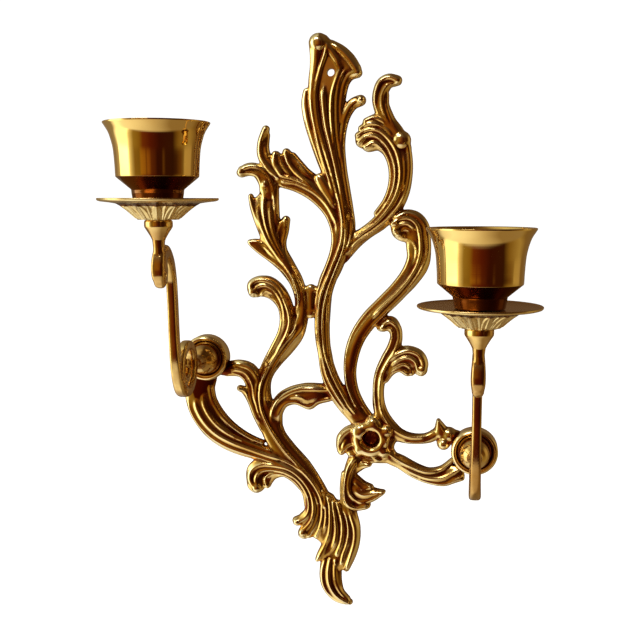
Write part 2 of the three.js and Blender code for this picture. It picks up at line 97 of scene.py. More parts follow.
# ------------------------------------------------------------------ the ornament
# A strand is (height, points), and a point is x, z and half-width, in the drawing's
# millimetres. BODIES are the broad strands, which give the plate its outline.
BODIES = [
    # stem, from the top leaf down to the rosette
    (5.2, [(-9.5, 17.5, 6.3), (-5, 9, 8.5), (-3.5, 0, 11), (-6.5, -12, 11.7), (-8, -22, 12.3),
        (-6.5, -32, 11.5), (-5, -44, 9.6), (-2.3, -56, 8), (1, -68, 7.5), (3.5, -82, 6.8), (4.5, -96, 6.5),
        (2, -110, 5.8), (-1.5, -120, 5.6), (-6, -130, 5.2), (-8.2, -152, 4.9), (-8.2, -165, 4.7),
        (-6.5, -175, 4.5), (-4.6, -185, 4.9), (-1, -195, 5.8), (6, -205, 6.3), (15, -214, 7),
        (22, -222, 7)]),
    (5.2, [(0, 14, 4), (5, 8, 5.5), (9, 3, 5), (13, -0.3, 3.2)]),
    # upper left branch and its horns
    (5, [(3, -96, 4.5), (-1.3, -84.5, 5.6), (-8.5, -74.8, 7), (-24, -65, 7.3), (-33, -62, 8)]),
    (5, [(-44, -33.5, 2.3), (-46, -42, 3), (-45, -50, 4), (-40.5, -57, 5), (-34, -62, 5.5)]),
    (5, [(-37.5, -49.5, 2.6), (-35.5, -55, 3.4), (-30, -61, 4)]),
    (5, [(-31, -48.5, 2.8), (-26.5, -54, 4), (-20, -61, 4.3), (-12, -68, 5)]),
    (6.3, [(-9.6, -64.5, 3.8), (-6, -70.5, 4.4), (-1.5, -79, 3), (1.5, -88, 1.8)]),
    (5.4, [(-60.3, -60.3, 2.8), (-56, -58.3, 3.9), (-50, -59, 4.4), (-45.5, -64, 4.8), (-43, -72, 4.8),
        (-43.5, -82, 5.5)]),
    # left leaf, running down into the left S
    (5, [(-43, -72, 4.8), (-44.5, -80, 6.5), (-43, -90, 6.6), (-41.5, -100, 7), (-38, -110, 7.2),
        (-31, -119.3, 5.5), (-24.6, -129.5, 4.5), (-21.2, -140, 3.5), (-21.5, -151, 4), (-25.5, -161, 6),
        (-32.5, -170, 6.6), (-39.5, -180, 5.2), (-44.8, -190, 4.2), (-46.5, -200, 4.8), (-45.5, -210, 6),
        (-42.6, -220, 7.5), (-38.8, -230, 7.4), (-31.8, -240, 7.9), (-23, -250, 8.1), (-15.2, -260, 7.2),
        (-9.5, -270, 7.2)]),
    (4.5, [(-54, -75, 1.7), (-52, -82, 2.8), (-45, -99, 4)]),
    (4.5, [(-38, -68, 2), (-37.5, -90, 2.3), (-36, -100, 3)]),
    (4, [(-31.7, -90, 2.9), (-34, -97, 3.4), (-34.8, -105, 3.4), (-33, -112, 3)]),
    (4, [(-55, -104, 1.6), (-50, -106, 3.5), (-35, -117.5, 4)]),
    (4.6, [(-15.7, -134, 3.9), (-15.7, -141, 3.4), (-15.7, -148.5, 3.6)]),
    (5.4, [(-51.3, -133.3, 5.6), (-45, -132, 7), (-38.7, -135, 6.4), (-33.5, -141.5, 5.4),
        (-30.5, -150, 4.6), (-31, -160, 4.6), (-41, -180, 4.2), (-46, -190, 3.6)]),
    # lower left: loop, great scroll, tongue and curl
    (5, [(-76, -186, 4), (-70, -186.4, 4.4), (-63, -185.6, 5.4), (-57, -187.2, 6), (-52, -193, 5.5),
        (-50.5, -202, 4.4), (-49, -212, 4), (-45, -222, 4)]),
    (4.6, [(-62.3, -198.5, 1.6), (-58, -200.2, 3.2), (-54.5, -206, 3.2), (-51.5, -215, 2.8),
        (-47, -225, 2.6)]),
    (5.4, [(-86, -190, 9), (-89, -200, 9.8), (-88.5, -208, 9.7), (-85.3, -216, 9.4), (-79.5, -224.5, 8.8),
        (-71, -232, 7.4), (-62, -236.7, 6.2), (-52, -240, 5.4), (-40, -243, 5.5)]),
    (5.2, [(-38.5, -224, 4.2), (-38.3, -213, 4.6), (-34.5, -205.8, 5.2), (-27, -202, 6.2),
        (-19, -201.3, 7.6), (-12, -200, 6.6), (-4, -199, 5)]),
    (4.5, [(-17, -207.6, 3.4), (-12, -204, 4)]),
    (5.2, [(-51.8, -261.3, 6.5), (-52, -253, 6.2), (-46, -248.5, 5.5), (-36, -249, 6), (-27, -253, 6),
        (-20, -260, 5.4), (-15, -269, 4.5), (-13.5, -279, 4.5)]),
    (4.6, [(-44.8, -260.3, 3.4), (-41, -255.3, 3.5), (-34, -253.3, 3), (-26, -255.6, 3)]),
    # bottom leaf
    (5.2, [(-5, -271, 6), (-3, -278, 13), (-1.5, -287, 15), (1.5, -296, 11.5), (3, -304, 8.5),
        (3, -311, 6.5)]),
    (5, [(-25.5, -284.7, 2.5), (-21, -284, 4.2), (-17, -279.5, 3.8), (-15, -271, 3.4)]),
    (5, [(-20, -293, 4.4), (-15.5, -289.5, 5), (-12, -281, 5)]),
    (5, [(-11, -292.8, 4.6), (-8, -286, 4.6), (-6.5, -276, 4)]),
    (5, [(-10.8, -310.2, 1.7), (-6.8, -306.3, 3.6), (-2.5, -300, 4.6), (0, -291, 5)]),
    (5.4, [(8, -315.3, 2.3), (9.3, -308, 4.2), (11.3, -298, 5.2), (11.3, -288, 5.6), (9.5, -278, 5)]),
    (4.8, [(-1.5, -304, 6), (-2.6, -316, 7.3), (-2, -326, 7.2), (1.8, -333.3, 5.6), (7, -337, 3.4),
        (10.7, -338.3, 1.6)]),
    # lower right leaf
    (5, [(14, -240, 4.8), (10.5, -249, 4.4), (9, -258, 4.3), (9, -267, 5), (9, -284, 6)]),
    (6.4, [(22.6, -245.2, 1.6), (18, -245.8, 3), (13, -249, 3.4)]),
    (4.4, [(23.5, -260, 1.6), (18, -258.8, 2.8), (13, -255.5, 3.4)]),
    (4.8, [(31.8, -263, 1.3), (26, -264.5, 4), (19, -265, 5.4), (13, -262, 5.6)]),
    (4.8, [(20.8, -272.3, 2.7), (16, -271.3, 4.4), (11.5, -266, 5)]),
    # right S and its curled head
    (5.2, [(18.5, -214, 4.5), (13.5, -205, 3.8), (10, -195, 3.5), (9, -185, 3.6), (10.3, -175, 3.6),
        (13.5, -165, 3.9), (20, -155, 4.1), (29, -145.2, 4.6), (38.8, -135.4, 5), (47, -125.4, 6),
        (51.8, -115, 7.3), (50.5, -99, 7.8), (47, -93.2, 8.2), (42, -91, 7)]),
    (5.6, [(37, -91.5, 3), (39, -97, 4), (43.5, -99.5, 4), (48, -97, 5)]),
    # upper right branch, shell and leaf
    (5, [(4, -113, 4.5), (12, -103, 5), (20, -97, 4.4), (28, -91, 5), (35, -82.5, 6), (39, -73, 6.7),
        (40.6, -63, 7), (40.3, -53, 7.2), (37, -44, 7.5), (30, -38.5, 7.5), (22, -38, 7),
        (17.5, -40.5, 5.7)]),
    (5, [(20.5, -45, 3.3), (27, -43.5, 4), (33, -47.5, 4)]),
    (5.4, [(20.5, -31, 4.2), (26, -30, 5.5), (32, -34, 6)]),
    (5.4, [(38.2, -5.7, 2.4), (34.3, -5, 3.7), (30.6, -6.6, 4.6), (27.8, -11, 4.8), (27.2, -17, 5),
        (32, -30, 5.2), (37, -37, 5.4), (41, -46, 6)]),
    # right curl and the loop to the right boss
    (5, [(29, -156.7, 3), (34.5, -154.3, 5), (38.6, -160.5, 3.8), (38, -168, 4), (33.5, -177, 4.6),
        (29.5, -186, 4), (27.8, -196, 3.6), (28, -206, 4.1), (30.6, -214, 4.6), (36, -221.5, 4.8),
        (43, -226, 3.9), (52, -227.6, 3.4), (60, -226.6, 3.5), (66, -223.5, 4), (70, -225, 5)]),
    (5.6, [(31.5, -183, 4), (39, -176.6, 6.6), (47.5, -175.2, 7), (53, -178.6, 6), (54.3, -183, 4.4)]),
    (5, [(31, -190, 2.5), (35, -184, 3.2), (41, -181.5, 3.5), (46, -184.6, 3.2)]),
    (6, [(67.6, -222.5, 5), (66.6, -218.6, 3.3), (65.7, -215.3, 1.5)]),
    (6, [(70, -225, 4.5), (77, -226, 5)]),
    # rosette and the lower strand to the right boss
    (6.6, [(20, -226, 10.5), (27, -229, 10.5)]),
    (9.4, [(30.5, -220.5, 3.4), (32.2, -227.5, 3.6), (30.6, -235, 3)]),
    (5.2, [(5, -229, 4.2), (10, -225, 4.4), (16, -223, 5)]),
    (5.2, [(4.6, -236, 3.6), (9.5, -231.5, 4.4), (15, -229, 4)]),
    (5.2, [(10.5, -238, 3), (16, -236, 4.5), (26, -239.5, 5), (35, -239.5, 5)]),
    (5.2, [(32, -221, 5), (36.2, -226, 4), (33.6, -233, 4.5), (35, -239.4, 4.6), (43, -243.4, 4.6),
        (52, -248.1, 4.6), (61, -251.3, 5), (70, -252, 5.8), (77, -248.5, 5.6)]),
    (5.4, [(75, -252.5, 3.6), (81.3, -252, 1.6)]),
]
# RIBS are the rounded flutes that run along the bodies and end as the leaves' petals. Their
# height is how far they rise above the bodies under them.
RIBS = [
    # top leaf, and the flutes that run from it down the stem
    (1.9, [(-10.8, 18, 5.6), (-11.8, 10, 4), (-12.6, 3, 3.4), (-13.8, -4, 3), (-14.8, -18, 2.2),
        (-11.4, -38, 1.9), (-8.6, -49, 1.9), (-2.6, -68, 1.7), (0.8, -80, 1.5)]),
    (1.3, [(-18.4, -11, 2), (-18.7, -18, 2.7), (-17.1, -29, 2.7), (-13.6, -41, 2.5), (-9.6, -53, 2.2),
        (-5, -66, 1.5)]),
    (1.3, [(-3, 17, 2.6), (3, 13, 3.2), (8, 7.8, 3.6), (12.2, 2, 3.2)]),
    (1.5, [(-6.4, 17.4, 3), (-2.2, 11.6, 3.4), (1.6, 5, 2.8), (1.4, -2, 2)]),
    (1.7, [(-5, 16.4, 2), (-6.6, 10, 1.9), (-9, 3, 1.9), (-12.3, -13, 2.2), (-10.6, -31, 2.3),
        (-8, -41, 2.2), (-2, -61, 2), (3.5, -83, 1.6), (4.7, -94, 1.5), (3.7, -104, 1.5),
        (-3.3, -122.5, 1.4), (-9.4, -140, 1.4), (-9.9, -163, 1.3), (-7.6, -176, 1.4), (-4.6, -188, 1.5),
        (0.4, -198, 1.6), (6.4, -207, 1.6), (12.6, -214.6, 1.7)]),
    (1.6, [(-6.3, -5.4, 2.4), (-7.5, -12, 2.4), (-5.8, -31, 2.2), (-3.5, -41, 2), (1.2, -61, 1.8),
        (3.6, -72, 1.6), (6.9, -97, 1.4), (5.6, -107, 1.3), (-1.6, -126, 1.3), (-5, -136, 1.2),
        (-7.2, -147, 1.2), (-7.6, -160, 1.2), (-6, -173, 1.3), (-2.4, -185, 1.5), (3, -196, 1.6),
        (9, -206, 1.7), (15.5, -214.6, 1.9)]),
    (1.2, [(4.4, 9, 2.4), (3.2, 3.6, 2), (-1.8, -12, 1.8), (-2.6, -23, 1.8), (-1.8, -35, 1.7),
        (0, -48, 1.6), (2.4, -59, 1.5), (5, -72, 1.4), (7.6, -85, 1.4), (8.6, -95, 1.4)]),
    (1.1, [(9, 5, 2.4), (5.8, 1, 2.1), (2.8, -4.6, 1.8), (1, -13, 1.8), (0.6, -23, 1.7), (1.2, -35, 1.6),
        (2.5, -47, 1.5), (4.4, -59, 1.5)]),
    (1.4, [(13, -0.3, 2.8), (8.8, -1.6, 2.8), (5.6, -6, 2.6), (3.2, -20, 2.2), (3.4, -30, 1.8)]),
    (1.5, [(15.2, -16.8, 3.2), (10.6, -18.8, 3.2), (6.8, -24, 3), (4.6, -32, 2.4), (3.8, -43, 1.9),
        (4.9, -57, 1.8), (7, -70, 1.8), (9.2, -83, 1.8), (10.5, -94, 1.8), (9, -104, 1.6), (5, -113.4, 1.5),
        (-2.6, -133, 1.3), (-4.4, -144, 1.2), (-4.6, -166, 1.2), (-3.2, -177, 1.3), (-0.4, -187, 1.6),
        (4.4, -197, 1.7), (10.6, -206.6, 1.6)]),
    # upper left branch
    (1, [(-34, -68.6, 1.2), (-26, -70.6, 1.5), (-18, -74.4, 1.6), (-11, -79.8, 1.6), (-5.4, -86.4, 1.6),
        (-2.2, -94, 1.5), (-1, -102, 1.5), (-2.4, -111, 1.5), (-9, -129, 1.4), (-11.5, -139, 1.3),
        (-12, -151, 1.2), (-11.7, -163, 1.2), (-9.7, -175, 1.2), (-7.8, -187, 1.3), (-3.4, -197.4, 1.4),
        (3, -206.6, 1.5), (9.8, -214.2, 1.5)]),
    (1.1, [(-34.5, -62, 1.3), (-26, -64.4, 1.4), (-17, -68.6, 1.4), (-9.4, -74.6, 1.4), (-3.6, -82, 1.4),
        (0.4, -90.6, 1.3), (1.6, -100, 1.2)]),
    (0.9, [(-33, -65.8, 1.2), (-24, -67.6, 1.4), (-15, -71.8, 1.4), (-7.6, -77.8, 1.4), (-2.4, -85.4, 1.3),
        (0, -94, 1.2)]),
    (1.2, [(-44, -33.6, 2.2), (-47, -42, 2.2), (-47, -50, 2.3), (-42.6, -57.4, 2.3), (-37, -63, 2)]),
    (0.8, [(-43, -37, 1.4), (-43.8, -45, 1.6), (-42.2, -51.4, 1.6), (-38, -57.4, 1.6)]),
    (1.4, [(-38, -49.4, 2.3), (-38, -55, 2.6), (-34.4, -61, 2.4)]),
    (1, [(-35, -50.4, 1.6), (-33, -56, 1.8), (-28.6, -61.6, 1.7)]),
    (1.5, [(-31, -48, 2.4), (-29.4, -54, 2.3), (-25, -60, 2), (-18, -66, 1.6), (-10.6, -72.6, 1.3)]),
    (1.1, [(-27, -50, 2), (-22.6, -55.4, 2.2), (-12, -66.6, 1.8)]),
    (0.9, [(-60, -61, 2.3), (-54.6, -60.6, 1.7), (-49.6, -62, 1.7), (-47, -67, 1.7), (-46.6, -72, 1.7)]),
    (1.2, [(-59.6, -58.6, 2.2), (-53.6, -56.6, 2), (-47, -57.8, 2), (-42, -63, 2), (-39.4, -70, 1.8),
        (-37.4, -88, 1.6)]),
    # left leaf
    (0.8, [(-54, -75.4, 1.5), (-52.8, -81, 1.6), (-46.4, -97, 1.7), (-41.6, -106, 1.6), (-35, -115, 1.5),
        (-29, -123.4, 1.4)]),
    (1.5, [(-48.9, -77, 2.2), (-48.9, -84, 2.1), (-47, -92.6, 1.9), (-43.4, -101.4, 1.7),
        (-38.4, -109.6, 1.5), (-32, -118, 1.4), (-26.4, -127, 1.3), (-23.4, -137, 1.2),
        (-23.4, -149, 1.2)]),
    (1.2, [(-45, -76.8, 1.8), (-45.2, -84, 1.8), (-43.8, -93, 1.7), (-40.6, -101.6, 1.6),
        (-35.6, -110.4, 1.4), (-29.4, -119.4, 1.3), (-24, -129.4, 1.2)]),
    (1.1, [(-41.2, -76, 1.8), (-41, -85, 1.8), (-40, -94, 1.7), (-37.4, -103, 1.6), (-32.6, -112, 1.4),
        (-26.4, -121.6, 1.3), (-21.6, -131, 1.2), (-19.4, -141, 1.2)]),
    (0.9, [(-31.4, -89.8, 2.4), (-31.6, -97, 1.7), (-33, -104.4, 1.5), (-31.4, -112, 1.4),
        (-26, -120.6, 1.3)]),
    (0.8, [(-34, -91.6, 1.4), (-36.4, -98, 1.4), (-36.2, -105, 1.4), (-33.6, -111.6, 1.3)]),
    (0.8, [(-54.8, -103.8, 1.5), (-49, -104, 1.7), (-33, -118, 1.3)]),
    (0.8, [(-54.4, -105.4, 1.2), (-49, -109.8, 1.4), (-34, -120.6, 1.5), (-28.4, -128.4, 1.4),
        (-25, -138, 1.3), (-24.6, -149, 1.3)]),
    (0.8, [(-19.5, -134, 2.4), (-12.5, -134, 2.4)]),
    (1.2, [(-19.5, -147, 1.8), (-12.5, -147, 1.8)]),
    # left S, from its curled head
    (1.5, [(-52.6, -136, 3), (-53.6, -131, 2.7), (-48.6, -127.9, 2.4), (-41.4, -128.9, 2.4),
        (-35.4, -133.6, 2.2), (-28.9, -150, 1.6), (-29.6, -159, 1.5), (-39.4, -178, 1.3)]),
    (1.1, [(-50, -137, 2), (-50, -132.6, 1.8), (-45, -131, 1.6), (-39.4, -133.4, 1.6), (-35, -139, 1.5),
        (-32.4, -147, 1.4), (-32.2, -156, 1.4)]),
    (1, [(-46.6, -136.8, 1.8), (-44.4, -134.4, 1.6), (-40.6, -135.6, 1.5), (-37, -139.8, 1.4)]),
    (0.9, [(-43.6, -137.6, 1.4), (-39, -139.8, 1.5), (-35.6, -144.6, 1.5), (-34.2, -152, 1.5),
        (-35.6, -161, 1.5), (-40.6, -171.4, 1.5), (-46, -182, 1.5), (-49.6, -192, 1.5), (-50.8, -202, 1.4),
        (-49.6, -212, 1.4), (-45.6, -222, 1.4)]),
    (1.4, [(-22.6, -152, 1.4), (-26.4, -160.6, 1.7), (-33, -169, 1.7), (-45.4, -189, 1.4),
        (-48.2, -199, 1.4), (-47.8, -209, 1.4), (-44.4, -219, 1.4), (-38.6, -229, 1.5),
        (-31.6, -238.6, 1.5), (-23.4, -247.4, 1.5), (-15.6, -256, 1.5), (-9.8, -265, 1.5),
        (-6, -274, 1.4)]),
    (0.9, [(-18.6, -151, 1.3), (-20.6, -158, 1.7), (-26.6, -166, 2), (-33.6, -175, 2), (-40, -185.4, 1.7),
        (-43.8, -195, 1.6), (-44.6, -205, 1.7), (-42.6, -214, 1.7)]),
    # lower left loop and leaf
    (1.1, [(-70, -183.4, 2.2), (-62, -182.6, 2.6), (-54.6, -185, 2.8), (-50, -191.4, 2.2),
        (-48.8, -199, 1.4)]),
    (1, [(-71, -187.4, 1.5), (-63.6, -185.8, 1.4), (-57.2, -188.2, 1.5), (-53.4, -195, 1.6),
        (-52, -204, 1.4), (-49.4, -214, 1.3)]),
    (0.9, [(-70.6, -189.6, 1.3), (-64, -188.6, 1.3), (-59, -191.6, 1.5), (-56, -198, 1.6),
        (-53.6, -207, 1.4), (-50, -217, 1.3), (-45, -226.6, 1.3)]),
    (0.8, [(-62, -198.4, 2), (-58.2, -199.6, 1.6), (-55.8, -205.6, 1.4), (-52.4, -215, 1.3),
        (-47.6, -225.6, 1.2)]),
    # great scroll from the left boss
    (0.9, [(-96, -203, 1.6), (-95, -212, 1.8), (-90.6, -221, 1.8), (-82.4, -229.8, 1.7),
        (-71.6, -236.4, 1.6), (-59.6, -240.4, 1.5), (-47.6, -243.6, 1.5), (-35.6, -246.8, 1.5),
        (-25, -251.6, 1.5), (-16.6, -259.4, 1.5), (-11.4, -268.6, 1.5), (-10.2, -278, 1.6),
        (-12.6, -287, 2.1), (-16.4, -293.6, 2.4)]),
    (1.1, [(-91.4, -202, 2), (-90.4, -211, 2.1), (-86, -219.6, 2.1), (-78.6, -227.4, 2), (-69, -232.9, 1.8),
        (-47, -240.4, 1.5), (-34.6, -244, 1.4), (-23.6, -249.4, 1.4), (-14.6, -258, 1.4), (-9, -268, 1.4),
        (-7.6, -278, 1.5), (-8.9, -287, 1.9), (-11.6, -294.2, 2.1)]),
    (1.1, [(-86.4, -200, 2), (-85.4, -209, 2), (-81.4, -217, 2), (-75, -224, 1.9), (-66.6, -229.4, 1.8),
        (-57.4, -233.4, 1.6), (-42, -238.6, 1.4)]),
    (1.2, [(-81.6, -198, 2.2), (-80.4, -206, 2.4), (-76.4, -213.6, 2.4), (-70.4, -220.6, 2.2),
        (-63, -226.4, 1.9), (-55, -230.8, 1.7), (-47.6, -233.6, 1.5)]),
    # tongue that ties the left S to the stem
    (1.1, [(-40.6, -223, 1.7), (-40.6, -214, 1.7), (-37.6, -206.6, 1.9), (-31, -200.8, 2.3),
        (-22.6, -197.6, 2.6), (-13.4, -197, 2.6), (-5.6, -197.4, 2.2)]),
    (0.9, [(-36.4, -222, 2), (-36, -213.6, 2), (-31.6, -207.4, 1.8), (-25.4, -206, 1.8),
        (-20.6, -207.8, 1.8), (-16.6, -208.8, 2.2), (-11.6, -205.4, 2.2), (-4, -203.4, 2)]),
    (1.1, [(-33, -204.6, 1.5), (-26, -202, 1.6), (-20.4, -203, 1.7), (-17, -206.6, 1.7)]),
    # curl, sweeping round into the bottom leaf
    (1.2, [(-51.4, -263.6, 3), (-55, -258.6, 2.7), (-54.4, -252.4, 2.3), (-48.6, -248.2, 2),
        (-39, -247.9, 1.8), (-29, -250.4, 1.7), (-20.6, -256.8, 1.6), (-15, -265.6, 1.6),
        (-13.2, -276, 1.7), (-15.4, -285, 2.4), (-20.4, -291.6, 3)]),
    (1.1, [(-49.6, -263.6, 2.3), (-51.4, -257.6, 1.9), (-48.6, -252.6, 1.8), (-41.6, -251, 1.6),
        (-32.6, -252.2, 1.5), (-24, -256.8, 1.5), (-18.4, -264.6, 1.5), (-16.4, -274, 1.6),
        (-18.4, -281.4, 2.2), (-24.4, -285.4, 2.7)]),
    (0.9, [(-44.4, -261.6, 2.4), (-45, -256.6, 1.8), (-39.4, -253.6, 1.5), (-32, -254.6, 1.4),
        (-25, -259, 1.4), (-20, -266.6, 1.4), (-18.6, -275, 1.4)]),
    # bottom leaf
    (1.3, [(-7.6, -264, 1), (-5.8, -269, 1.3), (-5.2, -283, 1.6), (-7.6, -294.6, 1.9)]),
    (1.4, [(-4, -268, 1), (-2.8, -273, 1.4), (-2.9, -290, 1.9), (-5.4, -299, 2.3), (-9.4, -307.4, 2.3),
        (-11, -310, 1.6)]),
    (1.4, [(-0.8, -270.6, 1), (1.4, -290, 2.1), (0, -299, 2.3), (-3.6, -306, 2)]),
    (1.3, [(2, -271.4, 1), (4.6, -280, 1.5), (5.6, -288, 1.8), (4.8, -297, 2), (2, -305, 1.8)]),
    (1.3, [(5, -271.6, 1), (6.2, -275.4, 1.4), (8, -279.6, 1.7), (9.6, -288, 2), (8.8, -297, 2),
        (6, -306, 1.9), (5, -311, 1.5)]),
    (1.4, [(8, -271, 1.2), (11.4, -280, 2.2), (13.6, -288, 2.5), (13.4, -297, 2.5), (8.6, -314, 1.9)]),
    (1, [(-6, -310, 1.9), (-7.6, -318, 2.1), (-7, -326, 2), (-3.6, -332.6, 1.8), (2, -337, 1.5)]),
    (1.4, [(-2.6, -309.6, 2), (-3.7, -318, 2.1), (-2.8, -326, 2), (0.6, -332.2, 1.8), (6.4, -336.6, 1.5),
        (10.4, -338.2, 1.4)]),
    (1.2, [(1, -309.6, 1.9), (0.6, -318, 2.1), (1.5, -325.4, 2), (4.4, -331.2, 1.7), (9, -336, 1.4)]),
    # lower right leaf
    (1.2, [(13, -241, 2.3), (8.6, -249, 1.9), (6.8, -266, 1.6), (9, -272, 1.8), (14.4, -274.2, 2),
        (20.4, -273, 2)]),
    (1.1, [(13.6, -245, 1.7), (10.4, -252, 1.6), (9.2, -259.4, 1.5), (11, -266, 1.7), (16, -269.6, 1.9),
        (23, -268.6, 1.9), (31, -263.6, 1.4)]),
    (0.8, [(11.6, -257, 1.3), (13.4, -262, 1.5), (18, -265, 1.6), (24.6, -264, 1.7), (31, -262.8, 1.2)]),
    (0.8, [(13.4, -257.4, 1.3), (17.6, -261, 1.5), (23.6, -260, 1.4)]),
    (0.9, [(5.4, -252, 1.3), (4.4, -262, 1.2), (4.6, -271, 1.1)]),
    # right S
    (1.4, [(37.4, -88.6, 2.2), (43.4, -85.9, 2.5), (50.4, -87.4, 2.7), (55.4, -93, 2.5), (56.8, -101, 2.3),
        (57.2, -110, 2), (54.6, -118.6, 1.9), (49.4, -127.4, 1.8), (41.6, -137, 1.8), (32, -146.8, 1.7),
        (23.4, -156, 1.6), (16.8, -166, 1.5), (13.2, -177, 1.4), (12, -187, 1.4), (13.6, -197, 1.4),
        (17.6, -206, 1.4), (23, -214, 1.4)]),
    (1.4, [(36, -92, 2), (40.4, -88.8, 1.6), (46.4, -88.8, 1.5), (51, -92.8, 1.6), (53.2, -108, 1.6),
        (51.6, -116, 1.6), (46.6, -125.4, 1.5), (39, -134.8, 1.5), (29.4, -144.4, 1.4),
        (20.8, -153.6, 1.4)]),
    (1.2, [(37, -96, 2), (40.6, -92.2, 1.6), (45.6, -92, 1.4), (49.4, -95.8, 1.5), (50.4, -101, 1.4)]),
    (1.1, [(39.6, -98.6, 2), (42.4, -95.4, 1.6), (46, -95.8, 1.4), (48.4, -99.4, 1.4)]),
    (1, [(43, -100, 1.9), (47, -101.4, 1.5), (50.2, -105.4, 1.5), (50.6, -112, 1.5), (47.4, -120, 1.5)]),
    (1, [(45.8, -105.6, 1.7), (46.6, -112.6, 1.8), (43.4, -121, 1.6), (36.8, -130.2, 1.5),
        (28, -139.6, 1.5), (18.6, -149.6, 1.5), (11.8, -160, 1.4), (8, -171, 1.4), (6.9, -183, 1.4),
        (8.2, -194, 1.4), (12, -204, 1.4), (17.4, -212.6, 1.4)]),
    # upper right branch and shell
    (1.1, [(18.6, -29.4, 1.8), (23.4, -27.4, 1.7), (29, -29.6, 1.8), (34, -34.4, 1.8)]),
    (1.2, [(15.6, -33.6, 1.8), (21, -31, 1.7), (27.6, -32.2, 1.7), (33.4, -36.6, 1.7), (37.4, -43, 1.6)]),
    (1.4, [(13.8, -38, 2), (19.4, -34.8, 1.7), (26.4, -35.2, 1.7), (32.4, -39.6, 1.7), (37.2, -46.6, 1.7),
        (39.8, -55, 1.7), (40.2, -65, 1.6), (37.4, -75, 1.5), (32, -84, 1.4), (25.4, -91.4, 1.3),
        (16.4, -98, 1.3), (9, -105, 1.2)]),
    (1.2, [(14.6, -42.6, 2), (19, -38.6, 1.6), (25, -38.6, 1.6), (30.6, -43, 1.6), (34.8, -50, 1.6),
        (37, -58, 1.6), (36.8, -67, 1.5), (34, -76, 1.4), (28.8, -84.4, 1.3), (22, -91.6, 1.3),
        (14, -97.6, 1.3)]),
    (1.1, [(19, -45.2, 2.2), (24, -42.6, 1.7), (29, -46.4, 1.6), (32.8, -52.6, 1.6), (34.4, -60, 1.5),
        (33.8, -69, 1.4), (30.8, -77.6, 1.4), (25, -85.6, 1.3)]),
    (1.4, [(44.4, -45, 1.9), (45.6, -54, 1.9), (45.4, -64, 1.8), (43.2, -74, 1.7), (39, -82, 1.5),
        (32.4, -89.6, 1.4), (23.6, -96.6, 1.4), (14.4, -103, 1.4), (7.6, -110.4, 1.3)]),
    (1, [(41.4, -47, 1.3), (42.8, -56, 1.4), (42.6, -66, 1.4), (40, -76, 1.4)]),
    (1.4, [(37.8, -5, 2.6), (32.4, -3.6, 2.3), (27.6, -6, 2.2), (25, -11.6, 2), (24.5, -18, 1.9),
        (26.4, -25, 1.7)]),
    (1, [(36.6, -7, 1.6), (32, -8.4, 1.6), (29, -13, 1.7), (28.6, -20, 1.7), (31, -27, 1.7),
        (35, -33.4, 1.6)]),
    (0.9, [(31.4, -13.4, 1.3), (31.4, -20, 1.4), (34, -28, 1.6), (38.4, -35.4, 1.6)]),
    # right curl, and the loop to the right boss
    (1.2, [(29.4, -156.6, 2.2), (34.4, -152.6, 2), (39, -155.8, 2), (40.6, -162, 1.8), (38.6, -170, 1.6),
        (33.4, -179, 1.5), (29.6, -188, 1.5), (29.4, -207, 1.5), (33, -215.6, 1.6), (39.6, -222.4, 1.6),
        (48, -225.8, 1.5), (57, -225.6, 1.5), (63, -223, 1.5)]),
    (1.1, [(30.4, -158, 1.6), (34.8, -157, 1.5), (36.4, -161.4, 1.5), (35, -168, 1.6), (30.6, -176.4, 1.5),
        (26.8, -185.6, 1.4), (25.4, -196, 1.3), (27, -213, 1.4)]),
    (1, [(38.4, -228.4, 1.3), (46, -229.4, 1.3), (55, -229.2, 1.3), (63, -227, 1.3)]),
    (1.7, [(32, -181, 1.7), (38.6, -174, 2.2), (46, -171, 2.5), (53, -173.4, 2.7), (56, -179.4, 2.7),
        (55, -184.4, 2.4)]),
    (1.6, [(33, -184, 1.4), (39.4, -177.6, 1.6), (46, -175, 1.7), (51, -177.6, 1.8), (52.6, -183, 2)]),
    (1.4, [(33, -187, 1.4), (38.6, -181.6, 1.5), (44, -179.6, 1.5), (48, -182.4, 1.6),
        (48.6, -185.6, 1.6)]),
    (1, [(32.4, -191, 1.3), (36.6, -185.4, 1.4), (41.4, -183.4, 1.4), (45.6, -185.8, 1.6)]),
    # rosette and the lower strand to the right boss
    (1.2, [(3, -234, 2.2), (3.8, -228.4, 2.4), (8, -224, 2.6), (14, -221.6, 2.6)]),
    (1.1, [(5.6, -234, 1.7), (7.6, -229.6, 1.8), (12, -227, 1.8)]),
    (1.1, [(4.4, -238, 1.9), (8.4, -233.6, 1.9), (13.4, -231, 1.8)]),
    (1.1, [(10.6, -239, 1.9), (16, -238.4, 1.7), (23, -239.4, 1.6), (30, -242.4, 1.6), (37, -242.4, 1.6)]),
    (1, [(19, -241.8, 1.5), (26, -242.8, 1.5), (34, -239.6, 1.4), (37.6, -236.6, 1.4)]),
    (1.6, [(38.6, -223.8, 2.2), (34.6, -226, 2), (33, -230.6, 2), (35.6, -237, 2), (50, -245.2, 1.8),
        (59.4, -247.9, 1.8), (67.6, -246.6, 1.8), (75.6, -240, 1.5)]),
    (1, [(40.6, -243.6, 1.5), (50, -248.8, 1.6), (60, -252, 1.7), (69, -251.4, 1.7), (79, -245.6, 1.4)]),
    (1, [(41, -246, 1.3), (51, -251.8, 1.5), (61, -255, 1.6), (70.4, -255.6, 1.7), (81.4, -250.4, 1.4)]),
]
